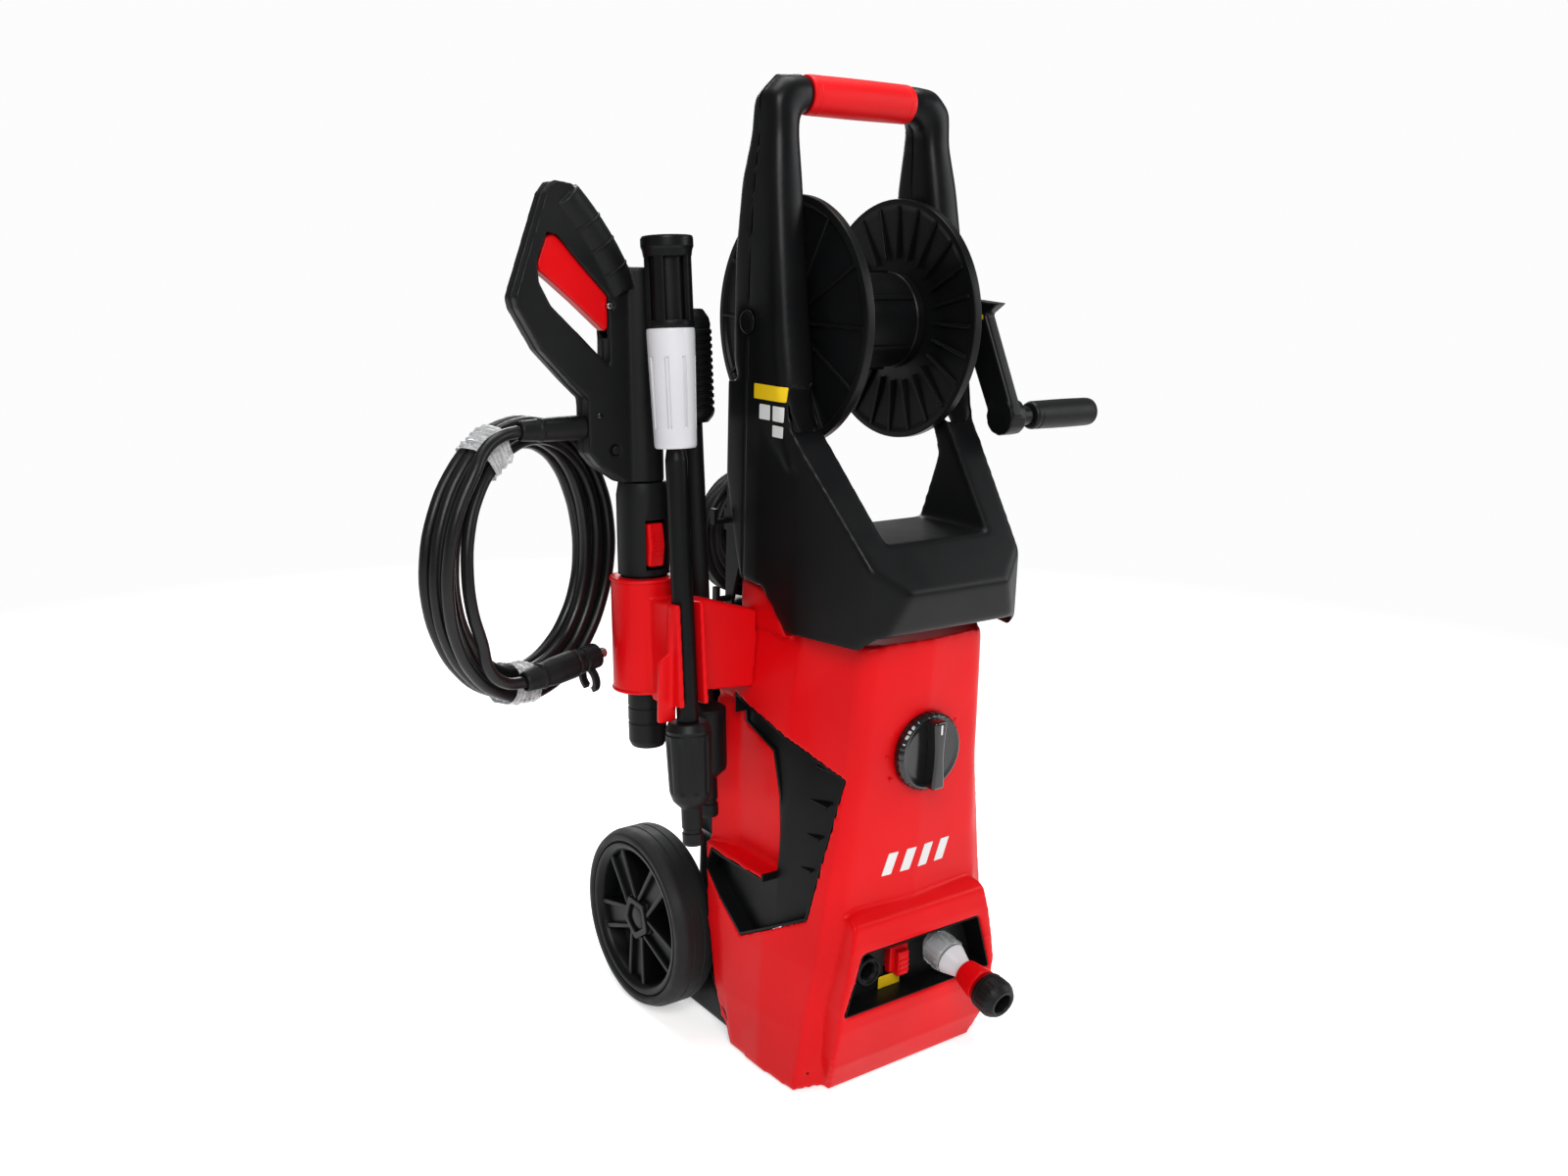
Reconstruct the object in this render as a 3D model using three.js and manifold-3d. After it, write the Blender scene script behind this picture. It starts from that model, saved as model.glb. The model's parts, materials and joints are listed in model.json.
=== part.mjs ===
// A wheeled electric pressure washer with a hose reel, a trigger gun and two lances.
// Millimetres, +Z up, +X to the right of someone facing it, the front faces -Y.
// The origin is on the floor, at the middle of the base.
import * as THREE from 'three';
import Module from 'manifold-3d';
import { mergeVertices } from 'three/addons/utils/BufferGeometryUtils.js';

const wasm = await Module();
wasm.setup();

// ---- driving dimensions -------------------------------------------------------------
const GAP = 0.3;                 // between pieces that touch
const WALL = 3;                  // moulded casing
const WHEEL = { radius: 91, rim: 79, inner: 110, outer: 155, y: 129 };
const AXLE_RADIUS = 6;
const REEL = { y: 10.8, z: 691, radius: 109.5, web: 61.3, drum: 44, shaft: 8 };
const POST_OUTER = 110;
const CROSSBAR = { y: 7, z: 882, radius: 17, core: 13, grip: 57.5 };
const KNOB = { z: 319, y: -124.5, radius: 36.5, seat: 38.5, depth: 9, ridge: 11 };
const PANEL_Y = -108;            // face of the connection panel
const OUTLET = { x: -48, z: 110, radius: 14 };
const INLET = { x: 38, z: 112, droop: 0.21 };
const GUN = { x: -192, y: 49.5, z: 548, lean: 0.0524, barrel: 23 };
const LANCE = { x: -188.5, y: -16.3, z: 420, lean: 0.0995, tube: 9.5 };
const TURBO = { x: -139.2, y: 33, z: 420, lean: 0.0995, tube: 9 };
const HOSE = { radius: 5.25 };
const COIL = { x: -291, y: 83, z: 486, width: 92, height: 110, radial: 13.5, half: 15, turn: 0.35 };
const LEAD = { radius: 3.75 };
const CORD_EXIT = { x: 25, y: 76, z: 424 };   // where the power cord leaves the rear cover
const HANK = { x: -52, y: 76, z: 488, middle: 45, radial: 15, half: 17 };

// ---- small tools --------------------------------------------------------------------
const v2 = (points) => points.map(([a, b]) => new THREE.Vector2(a, b));
const mirrored = (half) => [...half, ...half.slice().reverse().map(([a, b]) => [-a, b])];

const isClockwise = (points) => THREE.ShapeUtils.area(v2(points)) < 0;
const turnedLeft = (points) => (isClockwise(points) ? points.slice().reverse() : points);

function outlineShape(points, holes = []) {
  const shape = new THREE.Shape(v2(turnedLeft(points)));
  shape.holes = holes.map((hole) => new THREE.Path(v2(hole)));
  return shape;
}

// Outlines extruded along X hold (y, z), along Y (x, z) and along Z (x, y).
const AXES = {
  x: new THREE.Matrix4().set(0, 0, 1, 0, 1, 0, 0, 0, 0, 1, 0, 0, 0, 0, 0, 1),
  y: new THREE.Matrix4().set(1, 0, 0, 0, 0, 0, -1, 0, 0, 1, 0, 0, 0, 0, 0, 1),
  z: new THREE.Matrix4(),
};

function prism(points, axis, from, to, holes = []) {
  const depth = to - from;
  const g = new THREE.ExtrudeGeometry(outlineShape(points, holes), { depth, bevelEnabled: false });
  g.translate(0, 0, axis === 'y' ? -to : from);
  return g.applyMatrix4(AXES[axis]);
}

function bevelled(points, axis, from, to, bevel, holes = []) {
  const depth = to - from - 2 * bevel;
  const g = new THREE.ExtrudeGeometry(outlineShape(points, holes), {
    depth, bevelEnabled: true, bevelThickness: bevel, bevelSize: bevel, bevelOffset: -bevel,
    bevelSegments: 1,
  });
  g.translate(0, 0, (axis === 'y' ? -to : from) + bevel);
  return g.applyMatrix4(AXES[axis]);
}

function box(x0, x1, y0, y1, z0, z1) {
  const g = new THREE.BoxGeometry(x1 - x0, y1 - y0, z1 - z0);
  return g.translate((x0 + x1) / 2, (y0 + y1) / 2, (z0 + z1) / 2);
}

// A turned piece: profile of (radius, height) standing along +Z, +X or -Y.
function turned(profile, axis = 'z', segments = 14) {
  const g = new THREE.LatheGeometry(v2(profile), segments);
  g.rotateX(Math.PI / 2);
  if (axis === 'x') g.rotateY(Math.PI / 2);
  if (axis === '-y') g.rotateX(Math.PI / 2);
  return g;
}

function rod(radius, from, to, axis = 'z', segments = 12) {
  return turned([[0, from], [radius, from], [radius, to], [0, to]], axis, segments);
}

function ring(inner, outer, from, to, axis = 'z', segments = 14) {
  const profile = [[inner, from], [outer, from], [outer, to], [inner, to], [inner, from]];
  return turned(profile, axis, segments);
}

function tube(points, radius, sides, steps) {
  const section = [];
  for (let i = 0; i < sides; i += 1) {
    const a = (2 * Math.PI * i) / sides;
    section.push([radius * Math.cos(a), radius * Math.sin(a)]);
  }
  const path = new THREE.CatmullRomCurve3(points.map((p) => new THREE.Vector3(...p)));
  return new THREE.ExtrudeGeometry(outlineShape(section), { extrudePath: path, steps });
}

// A closed skin through rings of equal point count, each ring a list of (x, y, z).
function loft(rings) {
  const n = rings[0].length;
  const position = rings.flat(2);
  const index = [];
  for (let k = 0; k + 1 < rings.length; k += 1) {
    for (let i = 0; i < n; i += 1) {
      const a = k * n + i;
      const b = k * n + ((i + 1) % n);
      index.push(a, b, b + n, a, b + n, a + n);
    }
  }
  const last = (rings.length - 1) * n;
  for (let i = 1; i + 1 < n; i += 1) {
    index.push(0, i + 1, i, last, last + i, last + i + 1);
  }
  const g = new THREE.BufferGeometry();
  g.setAttribute('position', new THREE.Float32BufferAttribute(position, 3));
  g.setIndex(index);
  return g;
}

// Solids for boolean work.
function solid(geometry) {
  const g = geometry.clone();
  g.deleteAttribute('normal');
  g.deleteAttribute('uv');
  const m = mergeVertices(g, 1e-4);
  const mesh = { numProp: 3, vertProperties: m.attributes.position.array, triVerts: m.index.array };
  mesh.vertProperties = new Float32Array(mesh.vertProperties);
  mesh.triVerts = new Uint32Array(mesh.triVerts);
  const made = new wasm.Manifold(new wasm.Mesh(mesh));
  if (made.volume() >= 0) return made;
  for (let i = 0; i < mesh.triVerts.length; i += 3) {
    const keep = mesh.triVerts[i + 1];
    mesh.triVerts[i + 1] = mesh.triVerts[i + 2];
    mesh.triVerts[i + 2] = keep;
  }
  return new wasm.Manifold(new wasm.Mesh(mesh));
}

const asSolid = (thing) => (thing.isBufferGeometry ? solid(thing) : thing);
const join = (first, ...rest) => rest.reduce((a, b) => a.add(asSolid(b)), asSolid(first));
const cut = (first, ...rest) => rest.reduce((a, b) => a.subtract(asSolid(b)), asSolid(first));
const common = (first, ...rest) => rest.reduce((a, b) => a.intersect(asSolid(b)), asSolid(first));
const both = (make) => join(make(1), make(-1));

function skin(thing) {
  const { vertProperties, triVerts } = asSolid(thing).simplify(0.02).getMesh();
  const g = new THREE.BufferGeometry();
  g.setAttribute('position', new THREE.BufferAttribute(vertProperties, 3));
  g.setIndex(new THREE.BufferAttribute(triVerts, 1));
  g.computeVertexNormals();
  return g;
}

// ---- materials ----------------------------------------------------------------------
const COLOURS = {
  red: [0xd91414, 0.38, 0], black: [0x141516, 0.45, 0], gloss: [0x0b0b0c, 0.15, 0],
  rubber: [0x1d1d1f, 0.8, 0], steel: [0xb9bcc0, 0.3, 1], white: [0xe4e4e8, 0.4, 0],
  clear: [0xd8dde0, 0.12, 0], brass: [0xb59a52, 0.35, 1], motor: [0x5a5d60, 0.5, 0.6],
};

function material(name) {
  const [color, roughness, metalness] = COLOURS[name];
  return new THREE.MeshStandardMaterial({ name, color, roughness, metalness });
}

const washer = new THREE.Group();

function add(name, finish, thing, parent = washer) {
  const mesh = new THREE.Mesh(skin(thing), material(finish));
  mesh.name = name;
  parent.add(mesh);
  return mesh;
}

// ---- lower body ---------------------------------------------------------------------
// Half outlines of the front casing from the middle of the front round to its rear edge.
const FRONT_LEVELS = [
  [2, [[0, -108], [88, -104], [117, -96], [121, -45], [119, 0], [115, 17]]],
  [60, [[0, -116], [88, -112], [112, -101], [121, -45], [124, 6], [123, 27]]],
  [122, [[0, -119], [85, -115], [103, -106], [119, -45], [125, 16], [124, 38]]],
  [190, [[0, -118], [78, -114], [93, -106], [113, -45], [120, 25], [119, 50]]],
  [300, [[0, -123], [67, -119], [77, -110], [99, -45], [111, 10], [115, 52]]],
  [356, [[0, -126], [64, -121], [74, -113], [96, -48], [107, 4], [110, 44]]],
  [424, [[0, -130], [60, -124], [70, -116], [92, -58], [100, -8], [104, 30]]],
];

function insetHalf(half, d, rear) {
  return half.map(([x, y], i) => {
    const [ax, ay] = half[Math.max(i - 1, 0)];
    const [bx, by] = half[Math.min(i + 1, half.length - 1)];
    const length = Math.hypot(bx - ax, by - ay);
    const nx = (by - ay) / length;
    const ny = -(bx - ax) / length;
    if (i === 0) return [0, y + d];
    return [x - nx * d, i === half.length - 1 ? y + rear : y - ny * d];
  });
}

function frontLoft(inset, rear, bottom = 0, top = 0) {
  const rings = FRONT_LEVELS.map(([z, half], k) => {
    const height = z - (k === 0 ? bottom : 0) + (k === FRONT_LEVELS.length - 1 ? top : 0);
    const [front, ...side] = insetHalf(half, inset, rear);
    const right = side.map(([x, y]) => [x, y, height]);
    const left = side.slice().reverse().map(([x, y]) => [-x, y, height]);
    return [[...front, height], ...right, ...left];
  });
  return solid(loft(rings));
}

// The opening in each side, as (y, z), a band that runs over, down and back under a blade.
const WINDOW = [
  [22, 353], [-107, 300], [-88, 164], [-13, 124], [49, 172], [41, 193],
  [-34, 188], [-28, 262], [-18, 303], [20, 322],
];
// The hollow behind the lances, open to the rear, seen from above as (x, y) and aside as (y, z).
const SIDE_HOLLOW = [[150, 96], [119, 58], [97, 26], [90, -30], [97, -60], [150, -100]];
const HOLLOW_SIDE_VIEW = [[90, 197], [44, 197], [-38, 191.5], [-33, 262], [-23, 306], [17, 326],
  [20, 346], [90, 350]];

// Moves every side of a closed outline outwards by d.
const shiftOutline = (given, d) => {
  const points = turnedLeft(given);
  const n = points.length;
  return points.map(([x, y], i) => {
    const [ax, ay] = points[(i + n - 1) % n];
    const [bx, by] = points[(i + 1) % n];
    const e1 = [x - ax, y - ay];
    const e2 = [bx - x, by - y];
    const l1 = Math.hypot(...e1);
    const l2 = Math.hypot(...e2);
    const n1 = [e1[1] / l1, -e1[0] / l1];
    const n2 = [e2[1] / l2, -e2[0] / l2];
    const k = d / (1 + n1[0] * n2[0] + n1[1] * n2[1]);
    return [x + (n1[0] + n2[0]) * k, y + (n1[1] + n2[1]) * k];
  });
};

const sideHollow = both((side) => common(
  prism(SIDE_HOLLOW.map(([x, y]) => [side * x, y]), 'z', 150, 380),
  prism(HOLLOW_SIDE_VIEW, 'x', -160, 160),
));
const hollowBack = both((side) => common(
  prism(SIDE_HOLLOW.map(([x, y]) => [side * (x - WALL), y]), 'z', 150, 380),
  prism(shiftOutline(HOLLOW_SIDE_VIEW, WALL), 'x', -160, 160),
));

// The raised surround of the connection panel and the apron below it.
const APRON_SIDE = [[-104, 178], [-119, 176], [-131, 168], [-134, 150], [-136, 118], [-133, 70],
  [-124, 30], [-112, 2], [-104, 2]];
const APRON_FRONT = [[88, 2], [96, 40], [95, 92], [79, 172], [60, 180]];
const PANEL_OPENING = [[90, 84], [71, 142]];
const apron = common(
  prism(APRON_SIDE, 'x', -120, 120),
  prism(mirrored(APRON_FRONT), 'y', -160, -80),
);
const apronHollow = shiftOutline(APRON_SIDE, -WALL).slice(1, -1);
const apronInside = common(
  prism([[-95, 173], ...apronHollow, [-95, 5]], 'x', -120, 120),
  prism(shiftOutline(mirrored(APRON_FRONT), -WALL), 'y', -160, -90),
);
const RECESS_FLOOR = [[-160, 60], [-134, 72], [-112, 84]];
const recess = common(
  prism(mirrored(PANEL_OPENING), 'y', -170, -80),
  prism([[-160, 142], ...RECESS_FLOOR, [-90, 84], [-90, 142]], 'x', -120, 120),
);
const recessWalls = common(
  prism(shiftOutline(mirrored(PANEL_OPENING), WALL), 'y', -170, -80),
  prism(shiftOutline([[-160, 142], ...RECESS_FLOOR, [-98, 84], [-98, 142]], WALL), 'x', -120, 120),
);

// Raised shoulders at the top of the sides, beside the upper frame.
const SHOULDER = [[-46, 420], [-40, 427], [-22, 450], [-16, 456], [22, 462], [22, 420]];
const sideSlab = (outline, side, near, far) => prism(
  outline, 'x', side > 0 ? near : -far, side > 0 ? far : -near,
);
const shoulders = both((side) => sideSlab(SHOULDER, side, 88, 103));

const knobHole = rod(7, -KNOB.y - 12, -KNOB.y + 12, '-y').translate(0, 0, KNOB.z);
const knobSeat = rod(KNOB.seat, -KNOB.y - GAP, -KNOB.y + 12, '-y', 20).translate(0, 0, KNOB.z);
const windows = both((side) => sideSlab(WINDOW, side, 60, 160));

const casing = join(frontLoft(0, 0), apron, shoulders);
const casingInside = cut(
  join(frontLoft(WALL, 30, 10, -WALL), apronInside),
  hollowBack, recessWalls,
);
add('front_cover', 'red', cut(
  casing, casingInside, sideHollow, recess, windows, knobHole, knobSeat,
));

function grille(side) {
  const rim = shiftOutline(WINDOW, -0.35);
  const mouth = shiftOutline(WINDOW, -2.6);
  const slab = common(sideSlab(rim, side, 60, 160), frontLoft(0.8, 0));
  const tray = cut(slab, frontLoft(19, 30, 10, 10));
  const bowl = cut(sideSlab(mouth, side, 60, 160), frontLoft(16, 30, 10, 10));
  return cut(tray, bowl, sideHollow);
}
add('side_grille_left', 'black', grille(-1));
add('side_grille_right', 'black', grille(1));

const panelHole = (radius, at) => rod(radius, -PANEL_Y - 20, -PANEL_Y + 20, '-y', 20)
  .translate(at.x, 0, at.z);
const panelPlate = prism(shiftOutline(mirrored(PANEL_OPENING), -GAP), 'y', PANEL_Y, PANEL_Y + WALL);
add('connection_panel', 'black', cut(panelPlate,
  panelHole(OUTLET.radius + GAP, OUTLET),
  panelHole(13.4, INLET),
  box(-24, 4, PANEL_Y - 5, PANEL_Y + 8, 96, 128),
));

// Base tray that everything stands on, with two cheeks that carry the axle.
const BASE = [[110, -96], [116, -45], [114, 0], [104, 22], [95, 100], [80, 112]];
const baseTray = cut(
  prism(mirrored(BASE), 'z', 0, 22),
  prism(shiftOutline(mirrored(BASE), -4), 'z', 4, 30),
);
const CHEEK = [[24, 2], [112, 2], [143, 78], [143, 104], [115, 106], [70, 60], [40, 22]];
const cheeks = both((side) => sideSlab(CHEEK, side, 97, 104));
const axleBore = rod(AXLE_RADIUS + GAP, -130, 130, 'x').translate(0, WHEEL.y, WHEEL.radius);
add('base_tray', 'black', cut(join(baseTray, cheeks), axleBore));

// Rear casing: narrow between the wheels, full width above them.
const REAR_LEVELS = [
  [24.5, 92, 106, 10], [70, 94, 118, 18], [186, 94, 122, 24], [197, 108, 124, 24],
  [300, 111, 124, 24], [356, 108, 118, 24], [424, 101, 98, 18],
];
const REAR_JOINT = 56;            // where it meets the front casing
const rearLoft = (inset, open, bottom, top) => loft(REAR_LEVELS.map(([z, x, y, bend], k) => {
  const lift = (k === 0 ? bottom : 0) + (k === REAR_LEVELS.length - 1 ? top : 0);
  const corner = bend + inset / 2;
  const half = [[x - inset, REAR_JOINT - open], [x - inset, y - corner], [x - corner, y - inset]];
  return mirrored(half).map(([a, b]) => [a, b, z + lift]);
}));
const cordHole = rod(6.3, -10, 10).translate(CORD_EXIT.x, CORD_EXIT.y, CORD_EXIT.z);
add('rear_cover', 'black', cut(rearLoft(0, 0, 0, 0), rearLoft(WALL, 20, -10, -WALL), cordHole));

// ---- wheels -------------------------------------------------------------------------
const axleGroup = new THREE.Group();
axleGroup.position.set(0, WHEEL.y, WHEEL.radius);
washer.add(axleGroup);
add('axle', 'steel', rod(AXLE_RADIUS, -146, 146, 'x', 16), axleGroup);

const { radius: TYRE, rim: RIM, inner: IN, outer: OUT } = WHEEL;
const tyreProfile = [
  [RIM, IN + 2], [TYRE - 6, IN], [TYRE, IN + 8], [TYRE, OUT - 12], [TYRE - 3, OUT - 4],
  [TYRE - 9, OUT], [RIM, OUT - 1], [RIM, IN + 2],
];
const hubProfile = [
  [AXLE_RADIUS + GAP, IN + 2], [18, IN + 2], [18, IN + 14], [RIM - 8, IN + 14], [RIM - 8, IN + 3],
  [RIM - 0.6, IN + 3], [RIM - 0.6, OUT - 2], [RIM - 6, OUT - 2], [RIM - 12, IN + 18], [19, IN + 18],
  [17, OUT - 6], [AXLE_RADIUS + GAP, OUT - 6], [AXLE_RADIUS + GAP, IN + 2],
];
for (const [side, word] of [[-1, 'left'], [1, 'right']]) {
  const wheel = new THREE.Group();
  if (side < 0) wheel.rotation.z = Math.PI;
  axleGroup.add(wheel);
  add(`tyre_${word}`, 'rubber', turned(tyreProfile, 'x', 28), wheel);
  const pieces = [0, 1, 2, 3, 4].map((k) => {
    const spoke = prism([[-9, 14], [9, 14], [12, RIM - 7], [-12, RIM - 7]], 'x', IN + 16, OUT - 7);
    return spoke.rotateX((2 * Math.PI * k) / 5);
  });
  const bore = rod(AXLE_RADIUS + GAP, IN - 5, OUT - 10, 'x', 16);
  add(`wheel_hub_${word}`, 'black', cut(join(turned(hubProfile, 'x', 16), ...pieces), bore), wheel);
}

// ---- upper frame --------------------------------------------------------------------
const COLLAR_PLAN = [[56, -159.5], [87, -140], [106, -58.5], [110, -10], [110, 40]];
const COLLAR_FRONT = [[104, 419], [POST_OUTER, 466], [POST_OUTER, 660]];
const COLLAR_SIDE = [
  [-131, 424.5], [-149, 440], [-159.5, 476], [-58.5, 595], [-50, 604], [-10, 640], [-47, 572],
  [-32, 495], [-18, 457.5], [-47, 424.5],
];
const collar = (d) => common(
  prism(shiftOutline(mirrored(COLLAR_PLAN), d), 'z', 400, 700),
  prism(shiftOutline(mirrored(COLLAR_FRONT), d), 'y', -200, 100),
);
// The side panel below the left post.
const SIDE_PANEL = [
  [-60, 604], [-12, 640], [40, 640], [41, 557], [29.5, 505], [15.6, 461], [-39, 459], [-60, 470],
];
const collarOuter = common(
  collar(0),
  join(prism(COLLAR_SIDE, 'x', -130, 130), prism(SIDE_PANEL, 'x', -130, WALL - POST_OUTER)),
);
const COLLAR_INSIDE = [
  [-128, 400], [-145, 442], [-146, 470], [-70, 559], [-47, 640], [60, 640], [60, 400],
];
const collarInside = common(collar(-WALL), prism(COLLAR_INSIDE, 'x', -130, 130));
const OPENING = [[57.8, 513], [71, 597], [73, 700]];
const opening = prism(mirrored(OPENING), 'y', -200, 100);

// Each post: height, inner and outer side, front and rear.
const POST = [
  [570, 73, 109, -62, -46], [600, 73, 109.5, -55, -8], [650, 73, 110, -47, 39], [690, 73, 110, -40, 40],
  [750, 73, 109, -31, 41], [810, 71, 106, -21, 38], [850, 70, 101.5, -13, 31],
];
const BEND = { x: 62, z: 857, inner: 8 };
const bendOuter = [39.5, 46, 46.5, 42];

function roundedRing(centre, u, v, halfU, halfV, corner) {
  const points = [];
  for (let quarter = 0; quarter < 4; quarter += 1) {
    const su = [1, -1, -1, 1][quarter];
    const sv = [1, 1, -1, -1][quarter];
    for (let step = 0; step < 4; step += 1) {
      const a = (quarter + 0.06 + 0.29 * step) * (Math.PI / 2);
      const du = su * (halfU - corner) + corner * Math.cos(a);
      const dv = sv * (halfV - corner) + corner * Math.sin(a);
      points.push(centre.map((c, i) => c + u[i] * du + v[i] * dv));
    }
  }
  return points;
}

function postLoft(side, inset, end) {
  const rings = POST.map(([z, x0, x1, y0, y1]) => {
    const halfX = (x1 - x0) / 2 - inset;
    const halfY = (y1 - y0) / 2 - inset;
    const corner = Math.max(Math.min(12, halfX, halfY) - inset, 2);
    const centre = [side * (x0 + x1) / 2, (y0 + y1) / 2, z];
    return roundedRing(centre, [side, 0, 0], [0, 1, 0], halfX, halfY, corner);
  });
  bendOuter.forEach((outer, k) => {
    const a = (k / (bendOuter.length - 1)) * (Math.PI / 2);
    const middle = (outer + BEND.inner) / 2;
    const half = (outer - BEND.inner) / 2 - inset;
    const depth = 22 - 5 * (k / (bendOuter.length - 1)) - inset;
    const x = BEND.x + middle * Math.cos(a);
    const centre = [side * x, 9 - 0.7 * k, BEND.z + middle * Math.sin(a)];
    const u = [side * Math.cos(a), 0, Math.sin(a)];
    rings.push(roundedRing(centre, u, [0, 1, 0], half, depth, Math.min(half, depth, 12 + k * 1.5)));
  });
  const bar = (x, r) => roundedRing([side * x, CROSSBAR.y, CROSSBAR.z], [0, 0, 1], [0, 1, 0], r, r, r);
  const gripEnd = CROSSBAR.grip + GAP;
  if (end) {
    rings.push(bar(gripEnd, CROSSBAR.radius), bar(gripEnd - 0.01, CROSSBAR.core));
    rings.push(bar(0, CROSSBAR.core));
  } else {
    rings.push(bar(CROSSBAR.grip + 3, CROSSBAR.radius - inset));
  }
  return loft(rings);
}

const shaftHole = rod(REEL.shaft + 0.5, -130, 130, 'x', 16).translate(0, REEL.y, REEL.z);
const posts = both((side) => asSolid(postLoft(side, 0, true)));
const postsInside = both((side) => asSolid(postLoft(side, WALL, false)));
const frame = cut(
  join(collarOuter, posts), opening,
  cut(collarInside, prism(shiftOutline(mirrored(OPENING), WALL), 'y', -200, 100)),
  postsInside, shaftHole,
);
add('upper_frame_front', 'black', common(frame, box(-200, 200, -200, REEL.y - GAP / 2, 400, 950)));
add('upper_frame_rear', 'black', common(frame, box(-200, 200, REEL.y + GAP / 2, 200, 400, 950)));
const gripSleeve = ring(CROSSBAR.core + GAP, CROSSBAR.radius, -CROSSBAR.grip, CROSSBAR.grip, 'x', 16);
add('handle_grip', 'red', gripSleeve.translate(0, CROSSBAR.y, CROSSBAR.z));

// ---- hose reel ----------------------------------------------------------------------
const reel = new THREE.Group();
reel.position.set(0, REEL.y, REEL.z);
washer.add(reel);
const { radius: RIM_R, web: WEB, drum: DRUM, shaft: SHAFT } = REEL;
const flangeProfile = [
  [SHAFT + GAP, -4], [DRUM - 4, -4], [DRUM + 12, -1], [RIM_R - 8, -4.5], [RIM_R, -4.5], [RIM_R, 4],
  [RIM_R - 7, 4], [RIM_R - 9, -1], [DRUM + 12, 2], [22, -1], [20, 4.5], [SHAFT + GAP, 4.5],
  [SHAFT + GAP, -4],
];
for (const [side, word] of [[-1, 'left'], [1, 'right']]) {
  const flange = turned(flangeProfile, 'x', 24).translate(WEB, 0, 0);
  add(`reel_flange_${word}`, 'black', side < 0 ? flange.rotateZ(Math.PI) : flange, reel);
}
const drumEnd = WEB - 4 - GAP;
add('reel_drum', 'black', join(
  ring(DRUM - 4, DRUM, -drumEnd, drumEnd, 'x', 18),
  ring(SHAFT + GAP, 12, -drumEnd, drumEnd, 'x', 12),
  box(-3, 3, -DRUM + 2, -10, -4, 4),
  box(-3, 3, 10, DRUM - 2, -4, 4),
), reel);
add('reel_shaft', 'steel', rod(SHAFT, -78, 124, 'x', 16), reel);

const CRANK_OUT = { y: -78 - REEL.y, z: 607 - REEL.z };
const CRANK_PLATE = [
  [14, -14], [18, 0], [12, 15], [-4, 19], [-40, 21], [-77, 19], [-62, 8],
  [CRANK_OUT.y - 17, CRANK_OUT.z + 4], [CRANK_OUT.y - 12, CRANK_OUT.z - 12],
  [CRANK_OUT.y, CRANK_OUT.z - 17], [CRANK_OUT.y + 13, CRANK_OUT.z - 11],
  [CRANK_OUT.y + 17, CRANK_OUT.z + 3], [-44, -30], [0, -19],
];
const onCrank = (thing) => thing.translate(0, CRANK_OUT.y, CRANK_OUT.z);
add('crank_arm', 'black', cut(
  join(
    bevelled(CRANK_PLATE, 'x', 114, 128, 2),
    onCrank(rod(17, 113, 133, 'x')),
    onCrank(rod(9, 130, 151, 'x')),
    onCrank(rod(4.5, 150, 226, 'x', 12)),
  ),
  rod(SHAFT + GAP, 100, 124 + GAP, 'x'),
), reel);
const gripProfile = [[4.5 + GAP, 152], [12, 152], [13.5, 155], [13.5, 231], [11, 235], [0, 235],
  [0, 226 + GAP], [4.5 + GAP, 226 + GAP], [4.5 + GAP, 152]];
add('crank_grip', 'black', onCrank(turned(gripProfile, 'x')), reel);

// ---- front controls -----------------------------------------------------------------
const knob = new THREE.Group();
knob.position.set(0, KNOB.y, KNOB.z);
washer.add(knob);
const knobProfile = [
  [0, 0], [KNOB.radius, 0], [KNOB.radius, 5], [KNOB.radius - 5, KNOB.depth], [0, KNOB.depth],
];
const KNOB_RIDGE = [[-7, -32], [7, -32], [4, 0], [7, 32], [-7, 32], [-4, 0]];
add('power_knob', 'gloss', join(
  turned(knobProfile, '-y', 20),
  bevelled(KNOB_RIDGE, 'y', -KNOB.depth - KNOB.ridge, -KNOB.depth + 1, 2.5),
  rod(5, -29, 1, '-y', 12),
), knob);
add('rotary_switch', 'black', box(-22, 22, -95, -68, KNOB.z - 24, KNOB.z + 24));

const outletProfile = [[8, -40], [12, -40], [12, -2], [14, -2], [14, 9], [8, 9], [8, -40]];
add('outlet_socket', 'black', turned(outletProfile, '-y', 20).translate(OUTLET.x, PANEL_Y, OUTLET.z));
add('outlet_latch', 'red', join(
  bevelled([[-21, 100], [1, 100], [1, 126], [-21, 126]], 'y', PANEL_Y - 6, PANEL_Y + 2, 1),
  bevelled([[-16, 97.5], [-3, 97.5], [-3, 122], [-16, 122]], 'y', PANEL_Y - 13, PANEL_Y - 4, 1.5),
  box(-19, -1, PANEL_Y + 1, PANEL_Y + 7, 102, 124),
));

const inlet = new THREE.Group();
inlet.position.set(INLET.x, PANEL_Y, INLET.z);
inlet.rotation.x = INLET.droop;
washer.add(inlet);
add('inlet_spigot', 'white', turned([
  [5, -16], [12, -16], [12, 25.3], [16, 26.5], [9, 44], [9, 52], [5, 52], [5, -16],
], '-y'), inlet);
add('inlet_nut', 'clear', ring(12 + GAP, 18, 4, 25, '-y', 20), inlet);
add('connector_body', 'black', turned([
  [5, 52.5], [10, 52.5], [10, 74], [18, 74], [18.5, 92], [13, 98], [9.5, 98], [9.5, 78], [5, 70], [5, 52.5],
], '-y'), inlet);
add('connector_sleeve', 'red', turned([
  [10 + GAP, 46.5], [12.5, 46.5], [16, 66], [16, 69.5], [10 + GAP, 69.5], [10 + GAP, 46.5],
], '-y'), inlet);

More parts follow.
